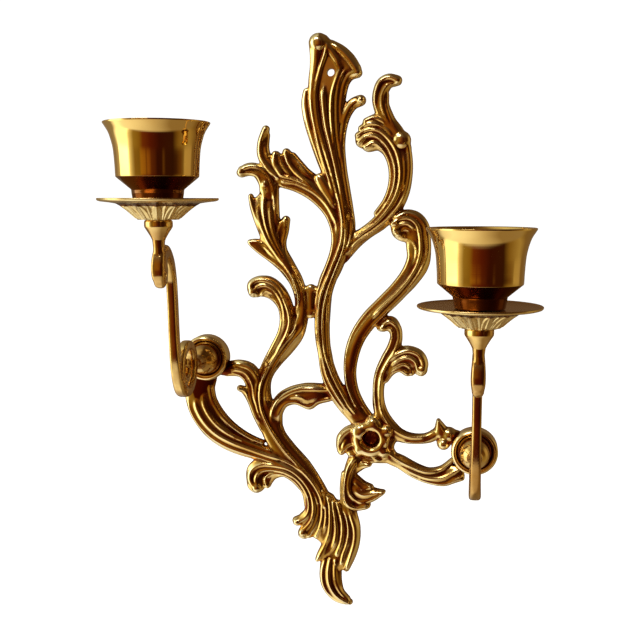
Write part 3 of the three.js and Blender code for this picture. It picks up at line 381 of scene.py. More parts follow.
# BULBS are the round swellings that stand on the strands: x, z, radius and height.
BULBS = [
    (-10.8, 17.8, 6.2, 8), (13.4, -0.2, 3, 6.2), (15.6, -16.6, 3, 6.6), (37.8, -5.6, 2.9, 6.6),
    (-59.8, -60.4, 2.8, 6.8), (40.4, -41.2, 6.2, 6.9), (-44.4, -67.4, 3, 6.2),
    (-52.6, -135.4, 3.6, 7.2), (-51, -263.4, 3.8, 7.2), (-24.4, -285.2, 3, 6.6), (-20.6, -292.2, 3.4, 6.8),
    (-62, -198.4, 2, 6), (37.4, -91.4, 3, 6.8), (39.2, -98, 3, 6.6), (30, -156.8, 2.6, 7),
    (55, -182.6, 3.6, 7.6), (72.6, -224, 5, 7), (69.2, -229.6, 4.5, 8.2),
    (16.4, -223.6, 6.8, 9.2), (24.6, -218.6, 6.2, 8.8), (33.2, -222.6, 5, 8.6), (17, -234.6, 5.6, 8),
    (31.4, -235.6, 5.4, 8.2),
]


# ------------------------------------------------------------------ mesh helpers, in millimetres
LONGEST_EDGE = 1.0             # edges longer than this count as this long when grooves are found
DEPTH_PASSES = 5               # how often the depth of grooves is smoothed over the surface


def catmull_rom(points, step):
    """Points about step apart on a centripetal Catmull-Rom curve through the given ones."""
    p = np.array(points, float)
    ends = np.vstack([2 * p[0] - p[1], p, 2 * p[-1] - p[-2]])
    out = []
    for p0, p1, p2, p3 in zip(ends, ends[1:], ends[2:], ends[3:]):
        d1, d2, d3 = (max(1e-3, np.linalg.norm(b - a) ** 0.5) for a, b in ((p0, p1), (p1, p2), (p2, p3)))
        t1 = ((p1 - p0) / d1 - (p2 - p0) / (d1 + d2) + (p2 - p1) / d2) * d2
        t2 = ((p2 - p1) / d2 - (p3 - p1) / (d2 + d3) + (p3 - p2) / d3) * d2
        count = max(2, round(np.linalg.norm(p2 - p1) / step))
        u = (np.arange(count) / count)[:, None]
        out.append(p1 * (2 * u**3 - 3 * u**2 + 1) + t1 * (u**3 - 2 * u**2 + u)
                   + p2 * (3 * u**2 - 2 * u**3) + t2 * (u**3 - u**2))
    out.append(p[-1:])
    return np.vstack(out)


def filleted(corners, radius, steps=4):
    """A profile whose corners are rounded: each becomes a short curve of at most this radius."""
    p = np.array(corners, float)
    out = [p[0]]
    for before, corner, after in zip(p, p[1:], p[2:]):
        a, b = before - corner, after - corner
        la, lb = np.linalg.norm(a), np.linalg.norm(b)
        cut = min(radius, 0.45 * la, 0.45 * lb)
        start, stop = corner + a / la * cut, corner + b / lb * cut
        for t in np.linspace(0, 1, steps + 1):
            out.append((1 - t) ** 2 * start + 2 * t * (1 - t) * corner + t**2 * stop)
    out.append(p[-1])
    return np.array(out)


def skin(rings, closed=False):
    """Vertices and faces of a closed skin through rings that all have the same count of points."""
    rings = np.asarray(rings, float)
    count, size = rings.shape[:2]
    index = np.arange(count * size).reshape(count, size)
    after = np.roll(index, -1, axis=1)
    pairs = range(count if closed else count - 1)
    faces = []
    for i in pairs:
        j = (i + 1) % count
        faces += np.stack([index[i], after[i], after[j], index[j]], axis=1).tolist()
    if not closed:
        faces += [index[0][::-1].tolist(), index[-1].tolist()]
    return rings.reshape(-1, 3), faces


def lathe(profile, segments=96, relief=None):
    """Turns a profile of radius, height about Z. It closes on itself, or it ends on the axis.

    relief(angle, radius, height) may push points out along the profile's normal."""
    p = np.array(profile, float)
    angle = np.arange(segments) * 2 * math.pi / segments
    on_axis = p[0, 0] < 1e-6
    body = p[1:-1] if on_axis else p
    radius = np.repeat(body[:, :1], segments, axis=1)
    height = np.repeat(body[:, 1:], segments, axis=1)
    if relief is not None:
        out, up = relief(angle[None, :], radius, height)
        radius, height = radius + out, height + up
    rings = np.stack([radius * np.cos(angle), radius * np.sin(angle), height], axis=2)
    verts, faces = skin(rings, closed=not on_axis)
    if on_axis:
        faces = faces[:-2]
        first, last = len(verts), len(verts) + 1
        verts = np.vstack([verts, [0, 0, p[0, 1]], [0, 0, p[-1, 1]]])
        top = (len(body) - 1) * segments
        for k in range(segments):
            after = (k + 1) % segments
            faces.append([first, after, k])
            faces.append([last, top + k, top + after])
    return verts, faces


def moved(part, x, y, z):
    return part[0] + np.array([x, y, z], float), part[1]


def from_wall(profile, segments, x, z):
    """A turned part whose axis stands out from the wall at x, z, with height as distance from it."""
    verts, faces = lathe(profile, segments)
    return moved((np.stack([verts[:, 0], -verts[:, 2], verts[:, 1]], axis=1), faces), x, 0, z)


def together(parts):
    verts, faces, base = [], [], 0
    for v, f in parts:
        verts.append(v)
        faces += [[i + base for i in face] for face in f]
        base += len(v)
    return np.vstack(verts), faces


def raw_object(name, part):
    """A mesh object that is still in millimetres, with its faces turned outwards."""
    mesh = bpy.data.meshes.new(name)
    mesh.from_pydata(part[0].tolist(), [], part[1])
    edit = bmesh.new()
    edit.from_mesh(mesh)
    bmesh.ops.recalc_face_normals(edit, faces=edit.faces)
    edit.to_mesh(mesh)
    edit.free()
    thing = bpy.data.objects.new(name, mesh)
    bpy.context.scene.collection.objects.link(thing)
    return thing


def modified(thing, kind, **settings):
    """Applies one modifier to an object's mesh."""
    modifier = thing.modifiers.new(kind, kind)
    for key, value in settings.items():
        setattr(modifier, key, value)
    bpy.context.view_layer.update()
    mesh = bpy.data.meshes.new_from_object(thing.evaluated_get(bpy.context.evaluated_depsgraph_get()))
    old = thing.data
    thing.modifiers.clear()
    thing.data = mesh
    bpy.data.meshes.remove(old)
    return thing


def combined(thing, other, operation):
    """Joins or cuts an object with another one, which is used up."""
    modified(thing, "BOOLEAN", object=other, operation=operation, solver="MANIFOLD")
    bpy.data.objects.remove(other)
    return thing


def finished(thing, name, body, nodes, material, sharp=40):
    """Scales a piece to metres, shades it, gives it its one material, ties it to its body and hides the CAD
    nodes that it stands in for.
    """
    thing.name = name
    thing.data.name = name
    thing.data.transform(Matrix.Scale(MM, 4))
    thing.data.materials.clear()
    thing.data.materials.append(material)
    thing.data.polygons.foreach_set("use_smooth", [True] * len(thing.data.polygons))
    thing.data.set_sharp_from_angle(angle=math.radians(sharp))
    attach(thing, body)
    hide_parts(*nodes)
    return thing


def places(mesh):
    """The mesh's vertices as an array of x, y, z rows."""
    co = np.zeros(len(mesh.vertices) * 3, np.float32)
    mesh.vertices.foreach_get("co", co)
    return co.reshape(-1, 3).astype(float)


def put_places(mesh, co):
    mesh.vertices.foreach_set("co", co.ravel().astype(np.float32))
    mesh.update()


def stored(mesh, name, values):
    """Keeps one number for each vertex, which the materials read by name."""
    mesh.attributes.new(name, "FLOAT", "POINT").data.foreach_set("value", values.astype(np.float32))


def neighbours(mesh):
    """The two ends of each edge."""
    edge = np.zeros(len(mesh.edges) * 2, np.int32)
    mesh.edges.foreach_get("vertices", edge)
    return edge.reshape(-1, 2).T


def spread(values, a, b, weight=None):
    """Each vertex's mean of its neighbours' values, weighted by edge."""
    count = len(values)
    total = np.bincount(a, weight, count) + np.bincount(b, weight, count)
    gain = 1.0 if weight is None else weight
    near = [np.bincount(a, gain * v[b], count) + np.bincount(b, gain * v[a], count) for v in values.T]
    return np.stack(near, axis=1) / total[:, None]


def mark_grooves(mesh, passes, foot=0.0):
    """Stores how deep each vertex lies in a groove, in mm: positive in grooves, negative on crests.

    The more passes, the wider the grooves that it finds. Closer to the wall than foot, in mm, everything
    counts as a groove, so that the sides get the grooves' dark colour there."""
    co = places(mesh)
    normal = np.zeros(len(co) * 3, np.float32)
    mesh.vertices.foreach_get("normal", normal)
    a, b = neighbours(mesh)
    weight = np.minimum(np.linalg.norm(co[a] - co[b], axis=1), LONGEST_EDGE) ** 0.5
    smooth = co.copy()
    for _ in range(passes):
        smooth = 0.4 * smooth + 0.6 * spread(smooth, a, b, weight)
    depth = ((smooth - co) * normal.reshape(-1, 3)).sum(axis=1)[:, None]
    for _ in range(DEPTH_PASSES):
        depth = 0.5 * depth + 0.5 * spread(depth, a, b)
    depth = depth[:, 0]
    if foot > 0:
        low = np.clip((foot + co[:, 1]) / (0.6 * foot), 0, 1)
        depth = depth + (FOOT_DARKENING - depth) * low
    stored(mesh, "groove", depth)


# ------------------------------------------------------------------ backplate
STRAND_STEP = 1.1
STRAND_COLUMNS = 15            # points across a strand
LOWEST_EDGE = 0.8              # least thickness of a strand, at its edges
INNER_REACH = 0.92             # how far a strand's inner side may reach to its centre of bend
SUNK = 0.62                    # height factor of an end that sinks into another strand
SINK_LENGTH = 10.0
RIB_FLOOR = 3.4                # least height that a rib rides at
RIB_SPREAD = 1.12              # how much wider a rib is than its points say
RIDE_PASSES = 6                # how often a rib's height is smoothed along it
CAP_ANGLES = (25, 45, 62, 77, 88)
VOXEL = 0.38
VOXEL_TURN = math.radians(-25)    # so that the long stem doesn't run along the voxels
IRONING = (10, 15)             # rounds that keep the plate's size, and then ones that melt it
SMOOTH, UNSMOOTH, MELT = 0.6, 0.63, 0.5    # how far a vertex moves in each, towards its neighbours
MOST_TRIANGLES = 196000
GROOVE_PASSES = 14             # rounds of smoothing that the plate's grooves are measured against
FOOT_HEIGHT = 4.0              # below this the plate's sides are darkened like the grooves
FOOT_DARKENING = 0.2                # the depth of groove that this darkening counts as
RECESS_RADIUS = 7.0            # round the nut
COVE_OUTER, COVE_WIDTH, COVE_RISE = 12.9, 2.7, 2.8        # the hollow round the knob
# The rosette's ring, as radius and distance from the wall, and how far out its eye is pressed to.
ROSETTE_RING = [(3, 1), (13.6, 1), (13.2, 3.6), (12.2, 5.6), (10.8, 7.2), (9.2, 8.2), (7.8, 8.4), (6.4, 7.8),
                (5, 6), (3, 4)]
EYE_PRESS = [(0, 2.4), (3.8, 2.8), (4.8, 6.4), (5.6, 8), (6.8, 9.2), (8, 12), (9, 99)]


def capped(place, along, left, right):
    """Adds the rows that round both ends of a strand. Each row gets a cap factor from 1 to 0."""
    rows = [(place, along, left, right, np.ones(len(place)))]
    for end, direction in ((0, -1), (-1, 1)):
        turn = np.radians(CAP_ANGLES)
        half = (left[end] + right[end]) / 2
        spots = place[end] + direction * half * np.sin(turn)[:, None] * along[end]
        row = (spots, np.repeat(along[end][None], len(turn), 0), left[end] * np.cos(turn),
               right[end] * np.cos(turn), np.cos(turn))
        rows = [tuple(r[::-1] for r in row)] + rows if direction < 0 else rows + [row]
    return [np.concatenate([r[k] for r in rows]) for k in range(5)]


def sunk(line, hosts):
    """Height factors that let an end which lies well inside another strand sink into it."""
    place = line[:, :2]
    run = np.concatenate([[0], np.cumsum(np.linalg.norm(np.diff(place, axis=0), axis=1))])
    lift = np.ones(len(line))
    for end, distance in ((0, run), (-1, run[-1] - run)):
        for host in hosts:
            gap = np.linalg.norm(host[:, :2] - place[end], axis=1)
            nearest = int(np.argmin(gap))
            inside = gap[nearest] < 0.8 * host[nearest, 2]
            from_tip = min(nearest, len(host) - 1 - nearest) * STRAND_STEP
            if inside and from_tip > host[nearest, 2]:
                t = np.clip(distance / SINK_LENGTH, 0, 1)
                lift = np.minimum(lift, SUNK + (1 - SUNK) * t * t * (3 - 2 * t))
                break
    return lift


def body_crown(across):
    return 0.3 + 0.7 * np.sqrt(np.clip(1 - abs(across) ** 2.4, 0, 1))


def rib_crown(across):
    return 0.52 + 0.48 * np.cos(across * math.pi / 2)


def strand(crest, line, crown):
    """One strand, flat towards the wall, with the given height along it and crown across it."""
    place, half = line[:, :2], line[:, 2]
    along = np.gradient(place, axis=0)
    along /= np.linalg.norm(along, axis=1)[:, None]
    before, after = np.roll(along, 1, 0), np.roll(along, -1, 0)
    gap = np.linalg.norm(np.roll(place, -1, 0) - np.roll(place, 1, 0), axis=1)
    bend = (before[:, 0] * after[:, 1] - before[:, 1] * after[:, 0]) / gap
    bend[[0, -1]] = 0
    limit = INNER_REACH / np.maximum(abs(bend), 1e-6)
    left = np.where(bend > 0, np.minimum(half, limit), half)
    right = np.where(bend < 0, np.minimum(half, limit), half)
    place, along, left, right, cap = capped(place, along, left, right)
    crest = np.pad(crest, len(CAP_ANGLES), mode="edge")
    across = np.sin(np.linspace(-1, 1, STRAND_COLUMNS) * math.pi / 2)
    reach = np.where(across[None, :] > 0, across * left[:, None], across * right[:, None])
    high = crown(across)[None, :] * (crest * (0.5 + 0.5 * cap))[:, None]
    high = np.maximum(high, LOWEST_EDGE)
    side = np.stack([-along[:, 1], along[:, 0]], axis=1)
    flat = place[:, None, :] + side[:, None, :] * reach[:, :, None]
    front = np.stack([flat[:, :, 0], -high, flat[:, :, 1]], axis=2)
    back = front[:, ::-1].copy()
    back[:, :, 1] = 0
    return skin(np.concatenate([front, back[:, [0, -1]]], axis=1))


def ridden(line, bodies):
    """How high the bodies stand under each point of a rib, smoothed along the rib."""
    high = np.full(len(line), RIB_FLOOR)
    for crest, body in bodies:
        gap = np.linalg.norm(line[:, None, :2] - body[None, :, :2], axis=2)
        nearest = gap.argmin(axis=1)
        across = gap.min(axis=1) / body[nearest, 2]
        high = np.maximum(high, np.where(across < 1, crest[nearest] * body_crown(across), 0))
    for _ in range(RIDE_PASSES):
        high = np.convolve(np.pad(high, 1, mode="edge"), (0.25, 0.5, 0.25), mode="valid")
    return high


def ornament():
    """All the strands of the plate, and the rosette's ring."""
    lines = [catmull_rom(points, STRAND_STEP) for _, points in BODIES]
    bodies = [(crest * sunk(line, [other for other in lines if other is not line]), line)
              for (crest, _), line in zip(BODIES, lines)]
    parts = [strand(crest, line, body_crown) for crest, line in bodies]
    for rise, points in RIBS:
        line = catmull_rom(points, STRAND_STEP)
        crest = ridden(line, bodies) + rise * (sunk(line, lines) - SUNK) / (1 - SUNK)
        line[:, 2] *= RIB_SPREAD
        parts.append(strand(crest, line, rib_crown))
    rise = np.radians(np.linspace(0, 90, 10))
    for x, z, radius, height in BULBS:
        dome = np.stack([radius * np.cos(rise) ** 0.8, 1 + (height - 1) * np.sin(rise)], axis=1)
        dome[-1, 0] = 0
        parts.append(from_wall([(0, 0.5), (radius, 0.5)] + dome.tolist(), 40, x, z))
    parts.append(from_wall(ROSETTE_RING, 72, *EYE))
    return parts


def boss_body():
    return filleted([[0, 0], [BOSS_RADIUS - 0.4, 0], [BOSS_RADIUS, 0.8], [BOSS_RADIUS, BOSS_FRONT - 1.6],
                     [BOSS_RADIUS - 1.5, BOSS_FRONT], [0, BOSS_FRONT]], 1.2)


def boss_cutter():
    """The seat of the knob with its coved edge, the stud's bore and the nut's recess at the back."""
    cut = [[0, -5], [RECESS_RADIUS, -5], [RECESS_RADIUS, WEB[0]], [BORE, WEB[0]], [BORE, WEB[1]],
           [COVE_OUTER - COVE_WIDTH, WEB[1]]]
    for turn in np.linspace(0.15, math.pi / 2, 9):
        cut.append([COVE_OUTER - COVE_WIDTH * math.cos(turn), WEB[1] + COVE_RISE * math.sin(turn) ** 1.6])
    return cut + [[COVE_OUTER + 0.3, BOSS_FRONT + 0.2], [COVE_OUTER + 1.1, 20], [0, 20]]


def smoothed(mesh, rounds, melt):
    """Irons out a voxel mesh's steps, which keeps its size, and then melts it a little."""
    co = places(mesh)
    a, b = neighbours(mesh)
    for amount in [SMOOTH, -UNSMOOTH] * rounds + [MELT] * melt:
        co += amount * (spread(co, a, b) - co)
    put_places(mesh, co)


def pressed(mesh):
    """Presses the rosette's eye into the front, and the back onto the plane of the wall."""
    co = places(mesh)
    from_eye = np.hypot(co[:, 0] - EYE[0], co[:, 2] - EYE[1])
    co[:, 1] = np.maximum(co[:, 1], -np.interp(from_eye, *zip(*EYE_PRESS)))
    co[co[:, 1] > -0.3, 1] = 0
    put_places(mesh, co)


def kept_in_box(mesh, node):
    """Holds every vertex inside its CAD node's box, which rounding may pass by a hair."""
    low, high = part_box(node)
    put_places(mesh, np.clip(places(mesh), np.array(low) / MM + 0.01, np.array(high) / MM - 0.01))


def build_backplate(material):
    plate = raw_object("backplate_cast", together(ornament()))
    plate.data.transform(Matrix.Rotation(VOXEL_TURN, 4, "Y"))
    modified(plate, "REMESH", mode="VOXEL", voxel_size=VOXEL)
    plate.data.transform(Matrix.Rotation(-VOXEL_TURN, 4, "Y"))
    pressed(plate.data)
    smoothed(plate.data, *IRONING)
    pressed(plate.data)
    pivots = [(x - DRAWING_SHIFT, z) for x, z in map(pivot_of, SIDES)]
    for x, z in pivots:
        combined(plate, raw_object("boss", from_wall(boss_body(), 120, x, z)), "UNION")
    cutters = [from_wall(boss_cutter(), 120, x, z) for x, z in pivots]
    hole = [(0, -8), (HOLE_RADIUS, -8), (HOLE_RADIUS, 20), (0, 20)]
    cutters.append(from_wall(hole, 64, -DRAWING_SHIFT, 0))
    for cutter in cutters:
        combined(plate, raw_object("cutter", cutter), "DIFFERENCE")
    plate.data.transform(Matrix.Translation((DRAWING_SHIFT, 0, 0)))
    kept_in_box(plate.data, "backplate")
    triangles = sum(len(p.vertices) - 2 for p in plate.data.polygons)
    if triangles > MOST_TRIANGLES:
        modified(plate, "DECIMATE", ratio=MOST_TRIANGLES / triangles)
    mark_grooves(plate.data, GROOVE_PASSES, FOOT_HEIGHT)
    stored(plate.data, "back", places(plate.data)[:, 1] > -0.05)
    finished(plate, "cast_backplate", "wall_plate", ["backplate"], material, 50)


# ------------------------------------------------------------------ arms
# The arm's bar, seen from the side: distance from the wall, height above the pivot,
# half-thickness in that plane and half-width across it, from the hook to the volute's middle.
ARM_BAR = [
    (98.3, 57.6, 4.6, 3.4), (99.6, 61, 5.4, 3.9), (100.2, 66, 5, 3.9), (98.4, 71.2, 4.2, 3.5),
    (92, 72.2, 4, 3.3), (84.5, 66.4, 4, 3.1), (79.5, 57, 3.8, 2.8), (77.3, 45, 3.9, 2.7), (76.2, 33, 4, 2.7),
    (75, 20, 3.9, 2.8), (73, 8, 3.7, 3), (69, -3, 3.6, 3.2), (62.5, -10.3, 3.5, 3.5), (54, -12.3, 3.5, 3.5),
    (45, -8.7, 3.4, 3.4), (39.7, 0, 3.3, 3.2), (41.6, 9.2, 3.2, 3.1), (49.3, 14.2, 3.1, 3),
    (58.3, 13, 2.9, 2.9), (64, 6.3, 2.6, 2.8), (63.3, -1.2, 2.3, 2.6), (57.5, -5, 2.2, 2.5),
    (51.2, -2.6, 2.1, 2.4), (50.6, 3, 2.2, 2.4), (55, 4.6, 2.6, 2.6),
]
# Turned parts of the arm, as radius and distance along their axis: the stalk that flows into
# the hook, the collar under the drip pan, and the neck between the knob and the volute.
STALK = [(0, 62), (3.4, 62), (3.3, 70), (3.1, 75), (3.5, 79), (4.6, 81.8), (0, 81.8)]
COLLAR = [(0, 79), (3.5, 79), (4.2, 80.6), (5.6, 83), (7.3, 85.6), (7.7, 86.4), (7.7, 88.9), (7.2, 89.9),
          (0, 89.9)]
NECK = [(0, 1), (2.4, 1), (2.4, 23.8), (4.2, 23.8), (4.6, 25), (3.9, 27.5), (3.4, 31), (3.6, 35), (3.4, 38),
        (0, 38)]
BAR_STEP = 0.9
BAR_SQUARENESS = 3.8           # 2 is an ellipse, and more is squarer
ARM_VOXEL = 0.35
ARM_IRONING = (6, 3)           # rounds as for the plate


def bar_section(turn):
    power = 2 / BAR_SQUARENESS
    return (np.sign(np.cos(turn)) * abs(np.cos(turn)) ** power,
            np.sign(np.sin(turn)) * abs(np.sin(turn)) ** power)


def arm_bar():
    line = catmull_rom(ARM_BAR, BAR_STEP)
    along = np.gradient(line[:, :2], axis=0)
    along /= np.linalg.norm(along, axis=1)[:, None]
    rows = [(p[:2], a, p[2], p[3]) for p, a in zip(line, along)]
    for end, direction in ((0, -1), (-1, 1)):
        place, run, thick, wide = rows[end]
        caps = []
        for t in np.radians((20, 40, 58, 72, 82, 88)):
            shrink = math.cos(t) ** 0.7
            tip = place + direction * run * thick * math.sin(t)
            caps.append((tip, run, thick * shrink, wide * shrink))
        rows = caps[::-1] + rows if direction < 0 else rows + caps
    turn = np.linspace(0, 2 * math.pi, 36, endpoint=False)
    across, through = bar_section(turn)
    rings = []
    for place, run, thick, wide in rows:
        out = place[0] - run[1] * thick * through
        up = place[1] + run[0] * thick * through
        rings.append(np.stack([wide * across, -out, up], axis=1))
    return skin(rings)


def build_arm(side, material):
    x, z = pivot_of(side)
    stalk = moved(lathe(STALK, 64), 0, -REACH, 0)
    arm = raw_object("arm", together([arm_bar(), stalk]))
    modified(arm, "REMESH", mode="VOXEL", voxel_size=ARM_VOXEL)
    smoothed(arm.data, *ARM_IRONING)
    collar = lathe(filleted(COLLAR, 0.7, 5), 96)
    combined(arm, raw_object("collar", moved(collar, 0, -REACH, 0)), "UNION")
    combined(arm, raw_object("neck", from_wall(filleted(NECK, 0.6, 5), 72, 0, 0)), "UNION")
    thread = lathe(filleted([(0, 80), (2.3, 80), (2.3, 89), (2.9, 90.4), (0, 95)], 0.3), 48)
    combined(arm, raw_object("thread", moved(thread, 0, -REACH, 0)), "DIFFERENCE")
    arm.data.transform(Matrix.Translation((x, 0, z)))
    mark_grooves(arm.data, 10)
    finished(arm, f"{side}_scroll_arm", f"{side}_arm_body", [f"{side}_arm"], material, 35)


# ------------------------------------------------------------------ pivot hardware
def build_knob(side, material):
    x, z = pivot_of(side)
    seat = WEB[1] + GAP
    dome = [(BORE, seat), (8.9, seat), (9.4, seat + 0.5), (9.75, 11.4), (9.7, 13.6), (9.2, 16), (8.3, 18.3),
            (7, 20.3), (5.6, 21.7), (4.7, 22.6), (4.2, 23.4), (3.4, 23.5), (BORE, 23.5), (BORE, seat)]
    knob = raw_object("knob", from_wall(filleted(dome, 0.8, 4)[:-1], 96, x, z))
    finished(knob, f"{side}_domed_knob", f"{side}_arm_body", [f"{side}_pivot_knob"],
             material)


def build_washer_and_nut(side, material):
    x, z = pivot_of(side)
    body = f"{side}_arm_body"
    ring = filleted([(BORE, 4.1), (6, 4.1), (6, 4.9), (BORE, 4.9), (BORE, 4.1)], 0.2, 3)[:-1]
    washer = raw_object("washer", from_wall(ring, 72, x, z))
    finished(washer, f"{side}_flat_washer", body, [f"{side}_rear_washer"], material)
    nut = raw_object("nut", from_wall([(0, 1), (4.7, 1), (4.7, 3.8), (0, 3.8)], 6, x, z))
    chamfer = [(0, 1), (4.15, 1), (4.75, 1.35), (4.75, 3.45), (4.15, 3.8), (0, 3.8)]
    combined(nut, raw_object("chamfer", from_wall(chamfer, 96, x, z)), "INTERSECT")
    mouth = BORE + 0.5
    thread = [(0, 0), (mouth, 0.2), (mouth, 0.95), (BORE, 1.45), (BORE, 3.4), (mouth, 4), (0, 5)]
    combined(nut, raw_object("thread", from_wall(thread, 48, x, z)), "DIFFERENCE")
    finished(nut, f"{side}_hex_nut", body, [f"{side}_rear_nut"], material, 25)


# ------------------------------------------------------------------ candle end
# Profiles of radius, height above the drip pan's rim.
PAN_TOP = [(2.6, -2.1), (13.5, -2.1), (22, -1.5), (30.2, -0.75), (31.2, -0.45), (32.0, -0.02),
           (32.45, -0.25), (32.55, -0.75), (32.1, -1.5), (30.5, -1.95)]
CALYX = [(30.5, -1.95), (26, -2.45), (22.5, -3), (20, -4.1), (17.5, -5.8), (15.2, -7.6), (12.9, -9.6),
         (11.5, -10.9), (10.7, -11.5)]
LEAVES = 12
LEAF_RELIEF = 1.5


def leaf_relief(angle, radius, height):
    """Pointed leaves round the calyx, with a midrib each, and the tips of others between them."""
    up = np.clip((height + 11.2) / 8.4, 0, 1)                   # 0 at the collar, 1 under the pan
    inside = (height < -2.75) & (radius > 10.5)
    phase = (angle / (2 * math.pi) * LEAVES) % 1 - 0.5
    other = (phase + 1) % 1 - 0.5

    def leaf(across, tip, width):
        along = np.clip(up / tip, 0, 1)
        half = width * np.clip(1 - along**2.6, 0, 1) ** 0.75
        edge = np.clip((half - abs(across)) / 0.06, 0, 1)
        rib = np.exp(-((across / 0.05) ** 2)) * (1 - along) ** 0.3
        return edge * (0.62 + 0.38 * rib - 0.2 * (abs(across) / np.maximum(half, 0.02)) ** 2)

    high = np.maximum(leaf(phase, 0.95, 0.42), 0.5 * leaf(other, 1.0, 0.2))
    grow = LEAF_RELIEF * np.clip(up * 6 + 0.25, 0, 1)
    return high * inside * grow * 0.72, -high * inside * grow * 0.5


def build_pan(side, material):
    x, y, rim = pan_rim_of(side)
    calyx = catmull_rom([(r - 0.6, h + 0.4) for r, h in CALYX[3:-1]], 0.3)
    under = [CALYX[0], CALYX[1], (22.6, -2.95)] + [tuple(p) for p in calyx] + [CALYX[-1], (2.6, -11.5)]
    profile = filleted(PAN_TOP, 0.5, 4)[:-1].tolist() + under
    pan = raw_object("pan", moved(lathe(profile, 480, leaf_relief), x, y, rim))
    mark_grooves(pan.data, 8)
    finished(pan, f"{side}_leaf_pan", f"{side}_candle_body", [f"{side}_drip_pan"], material,
             60)


# The cup as radius and height over the pan's rim: its foot, wall, lip, bowl and candle socket.
CUP_FOOT = [(2.4, -1.8), (12.9, -1.8), (13.3, -1.2), (13.9, 2.2), (14.1, 4.4), (22.2, 11.1), (22.3, 13)]
CUP_WALL = [(22.3, 13), (22.45, 17), (23.2, 26), (24.2, 30.5), (25.6, 34.6), (28.0, 38.6)]
CUP_LIP = [(28.35, 39.1), (28.5, 39.5), (28.35, 39.85), (27.95, 40), (27.5, 39.95), (27.1, 39.6)]
CUP_BOWL = [(26.8, 39.2), (24.9, 36), (23.4, 32.4), (22.3, 28), (21.6, 24), (21.1, 18), (20.7, 13.4)]
CUP_SOCKET = [(20.7, 13.4), (20.6, 12.2), (19.2, 10.9), (12.2, 9.6), (11.2, 8.6), (11.2, 1), (4.7, 1),
              (4.7, -0.6), (2.4, -0.6), (2.4, -1.8)]
CUP_FOOT_TOP = 11.35           # below this the cup gets painted shade, a dark maroon tint in place of the foot's dark reflections


def build_cup(side, material):
    x, y, rim = pan_rim_of(side)
    profile = filleted(CUP_FOOT, 0.45, 4)[:-1].tolist() + catmull_rom(CUP_WALL, 0.8).tolist() + CUP_LIP
    profile += catmull_rom(CUP_BOWL, 0.9).tolist() + filleted(CUP_SOCKET, 0.5, 4)[1:-1].tolist()
    cup = raw_object("cup", moved(lathe(profile, 192), x, y, rim))
    # Marks the foot and chamfer for painted shade: the cup material darkens them to a maroon tint that
    # stands in for their dark reflections.
    stored(cup.data, "foot", np.clip(4 * (rim + CUP_FOOT_TOP - places(cup.data)[:, 2]), 0, 1))
    finished(cup, f"{side}_flared_cup", f"{side}_candle_body", [f"{side}_candle_cup"],
             material, 45)


def build_cup_screw(side, material):
    x, y, rim = pan_rim_of(side)
    head = -0.6 + GAP
    foot = 81 - RISE
    shaft = filleted([(0, foot), (1.6, foot), (2, 81.5 - RISE), (2, head), (4.2, head), (4.2, head + 0.8),
                      (3.6, head + 1.2), (0, head + 1.2)], 0.25, 3)
    screw = raw_object("screw", moved(lathe(shaft, 72), x, y, rim))
    slot = raw_object("slot", lathe([(0, -0.6), (14, -0.6), (14, 0.6), (0, 0.6)], 4))
    slot.data.transform(Matrix.Rotation(math.radians(45), 4, "Z"))
    slot.data.transform(Matrix.Diagonal((1, 0.05, 1, 1)))
    slot.data.transform(Matrix.Translation((x, y, rim + head + 1.2)))
    combined(screw, slot, "DIFFERENCE")
    finished(screw, f"{side}_slotted_screw", f"{side}_arm_body", [f"{side}_cup_screw"],
             material, 30)


# ------------------------------------------------------------------ materials
def shader_tree(name):
    material = bpy.data.materials.new(name)
    material.use_nodes = True
    tree = material.node_tree
    shader = tree.nodes["Principled BSDF"]
    shader.inputs["Metallic"].default_value = 1.0
    return material, tree, shader


def fed(tree, socket, value):
    """Links a node's output to an input, or sets the input to a number, a vector or a colour."""
    if isinstance(value, bpy.types.NodeSocket):
        tree.links.new(value, socket)
    elif isinstance(value, tuple) and socket.type == "RGBA":
        socket.default_value = (*value, 1)
    else:
        socket.default_value = value


def node(tree, kind, settings=None, **inputs):
    """Adds a node, sets its plain attributes, and feeds its inputs by name."""
    made = tree.nodes.new(kind)
    for key, value in (settings or {}).items():
        setattr(made, key, value)
    for key, value in inputs.items():
        fed(tree, made.inputs[key.replace("_", " ")], value)
    return made


def stored_value(tree, name):
    """What the mesh stores under this name, such as the depth of its grooves."""
    return node(tree, "ShaderNodeAttribute", {"attribute_name": name}).outputs["Fac"]


def object_place(tree, scale=(1, 1, 1)):
    """Where a point is on the object, in metres, stretched by scale."""
    place = node(tree, "ShaderNodeTexCoord").outputs["Object"]
    return node(tree, "ShaderNodeMapping", Vector=place, Scale=scale).outputs["Vector"]


def noise(tree, scale, detail=3.0, roughness=0.5, stretch=(1, 1, 1)):
    made = node(tree, "ShaderNodeTexNoise", Vector=object_place(tree, stretch), Scale=scale, Detail=detail,
                Roughness=roughness)
    return made.outputs["Fac"]


def ramped(tree, value, low, high, to_low=0.0, to_high=1.0):
    """A soft step of the value from low to high, which gives to_low before it and to_high after it."""
    made = node(tree, "ShaderNodeMapRange", {"interpolation_type": "SMOOTHSTEP"}, Value=value, From_Min=low,
                From_Max=high, To_Min=to_low, To_Max=to_high)
    return made.outputs["Result"]


def computed(tree, operation, a, b):
    made = node(tree, "ShaderNodeMath", {"operation": operation})
    for socket, value in zip(made.inputs, (a, b)):
        fed(tree, socket, value)
    return made.outputs["Value"]


def mixed(tree, factor, first, second):
    """Mixes two colours, each a socket or an RGB triple."""
    made = node(tree, "ShaderNodeMix", {"data_type": "RGBA"})
    enabled = [socket for socket in made.inputs if socket.enabled]
    for socket, value in zip(enabled, (factor, first, second)):
        fed(tree, socket, value)
    return next(socket for socket in made.outputs if socket.enabled)


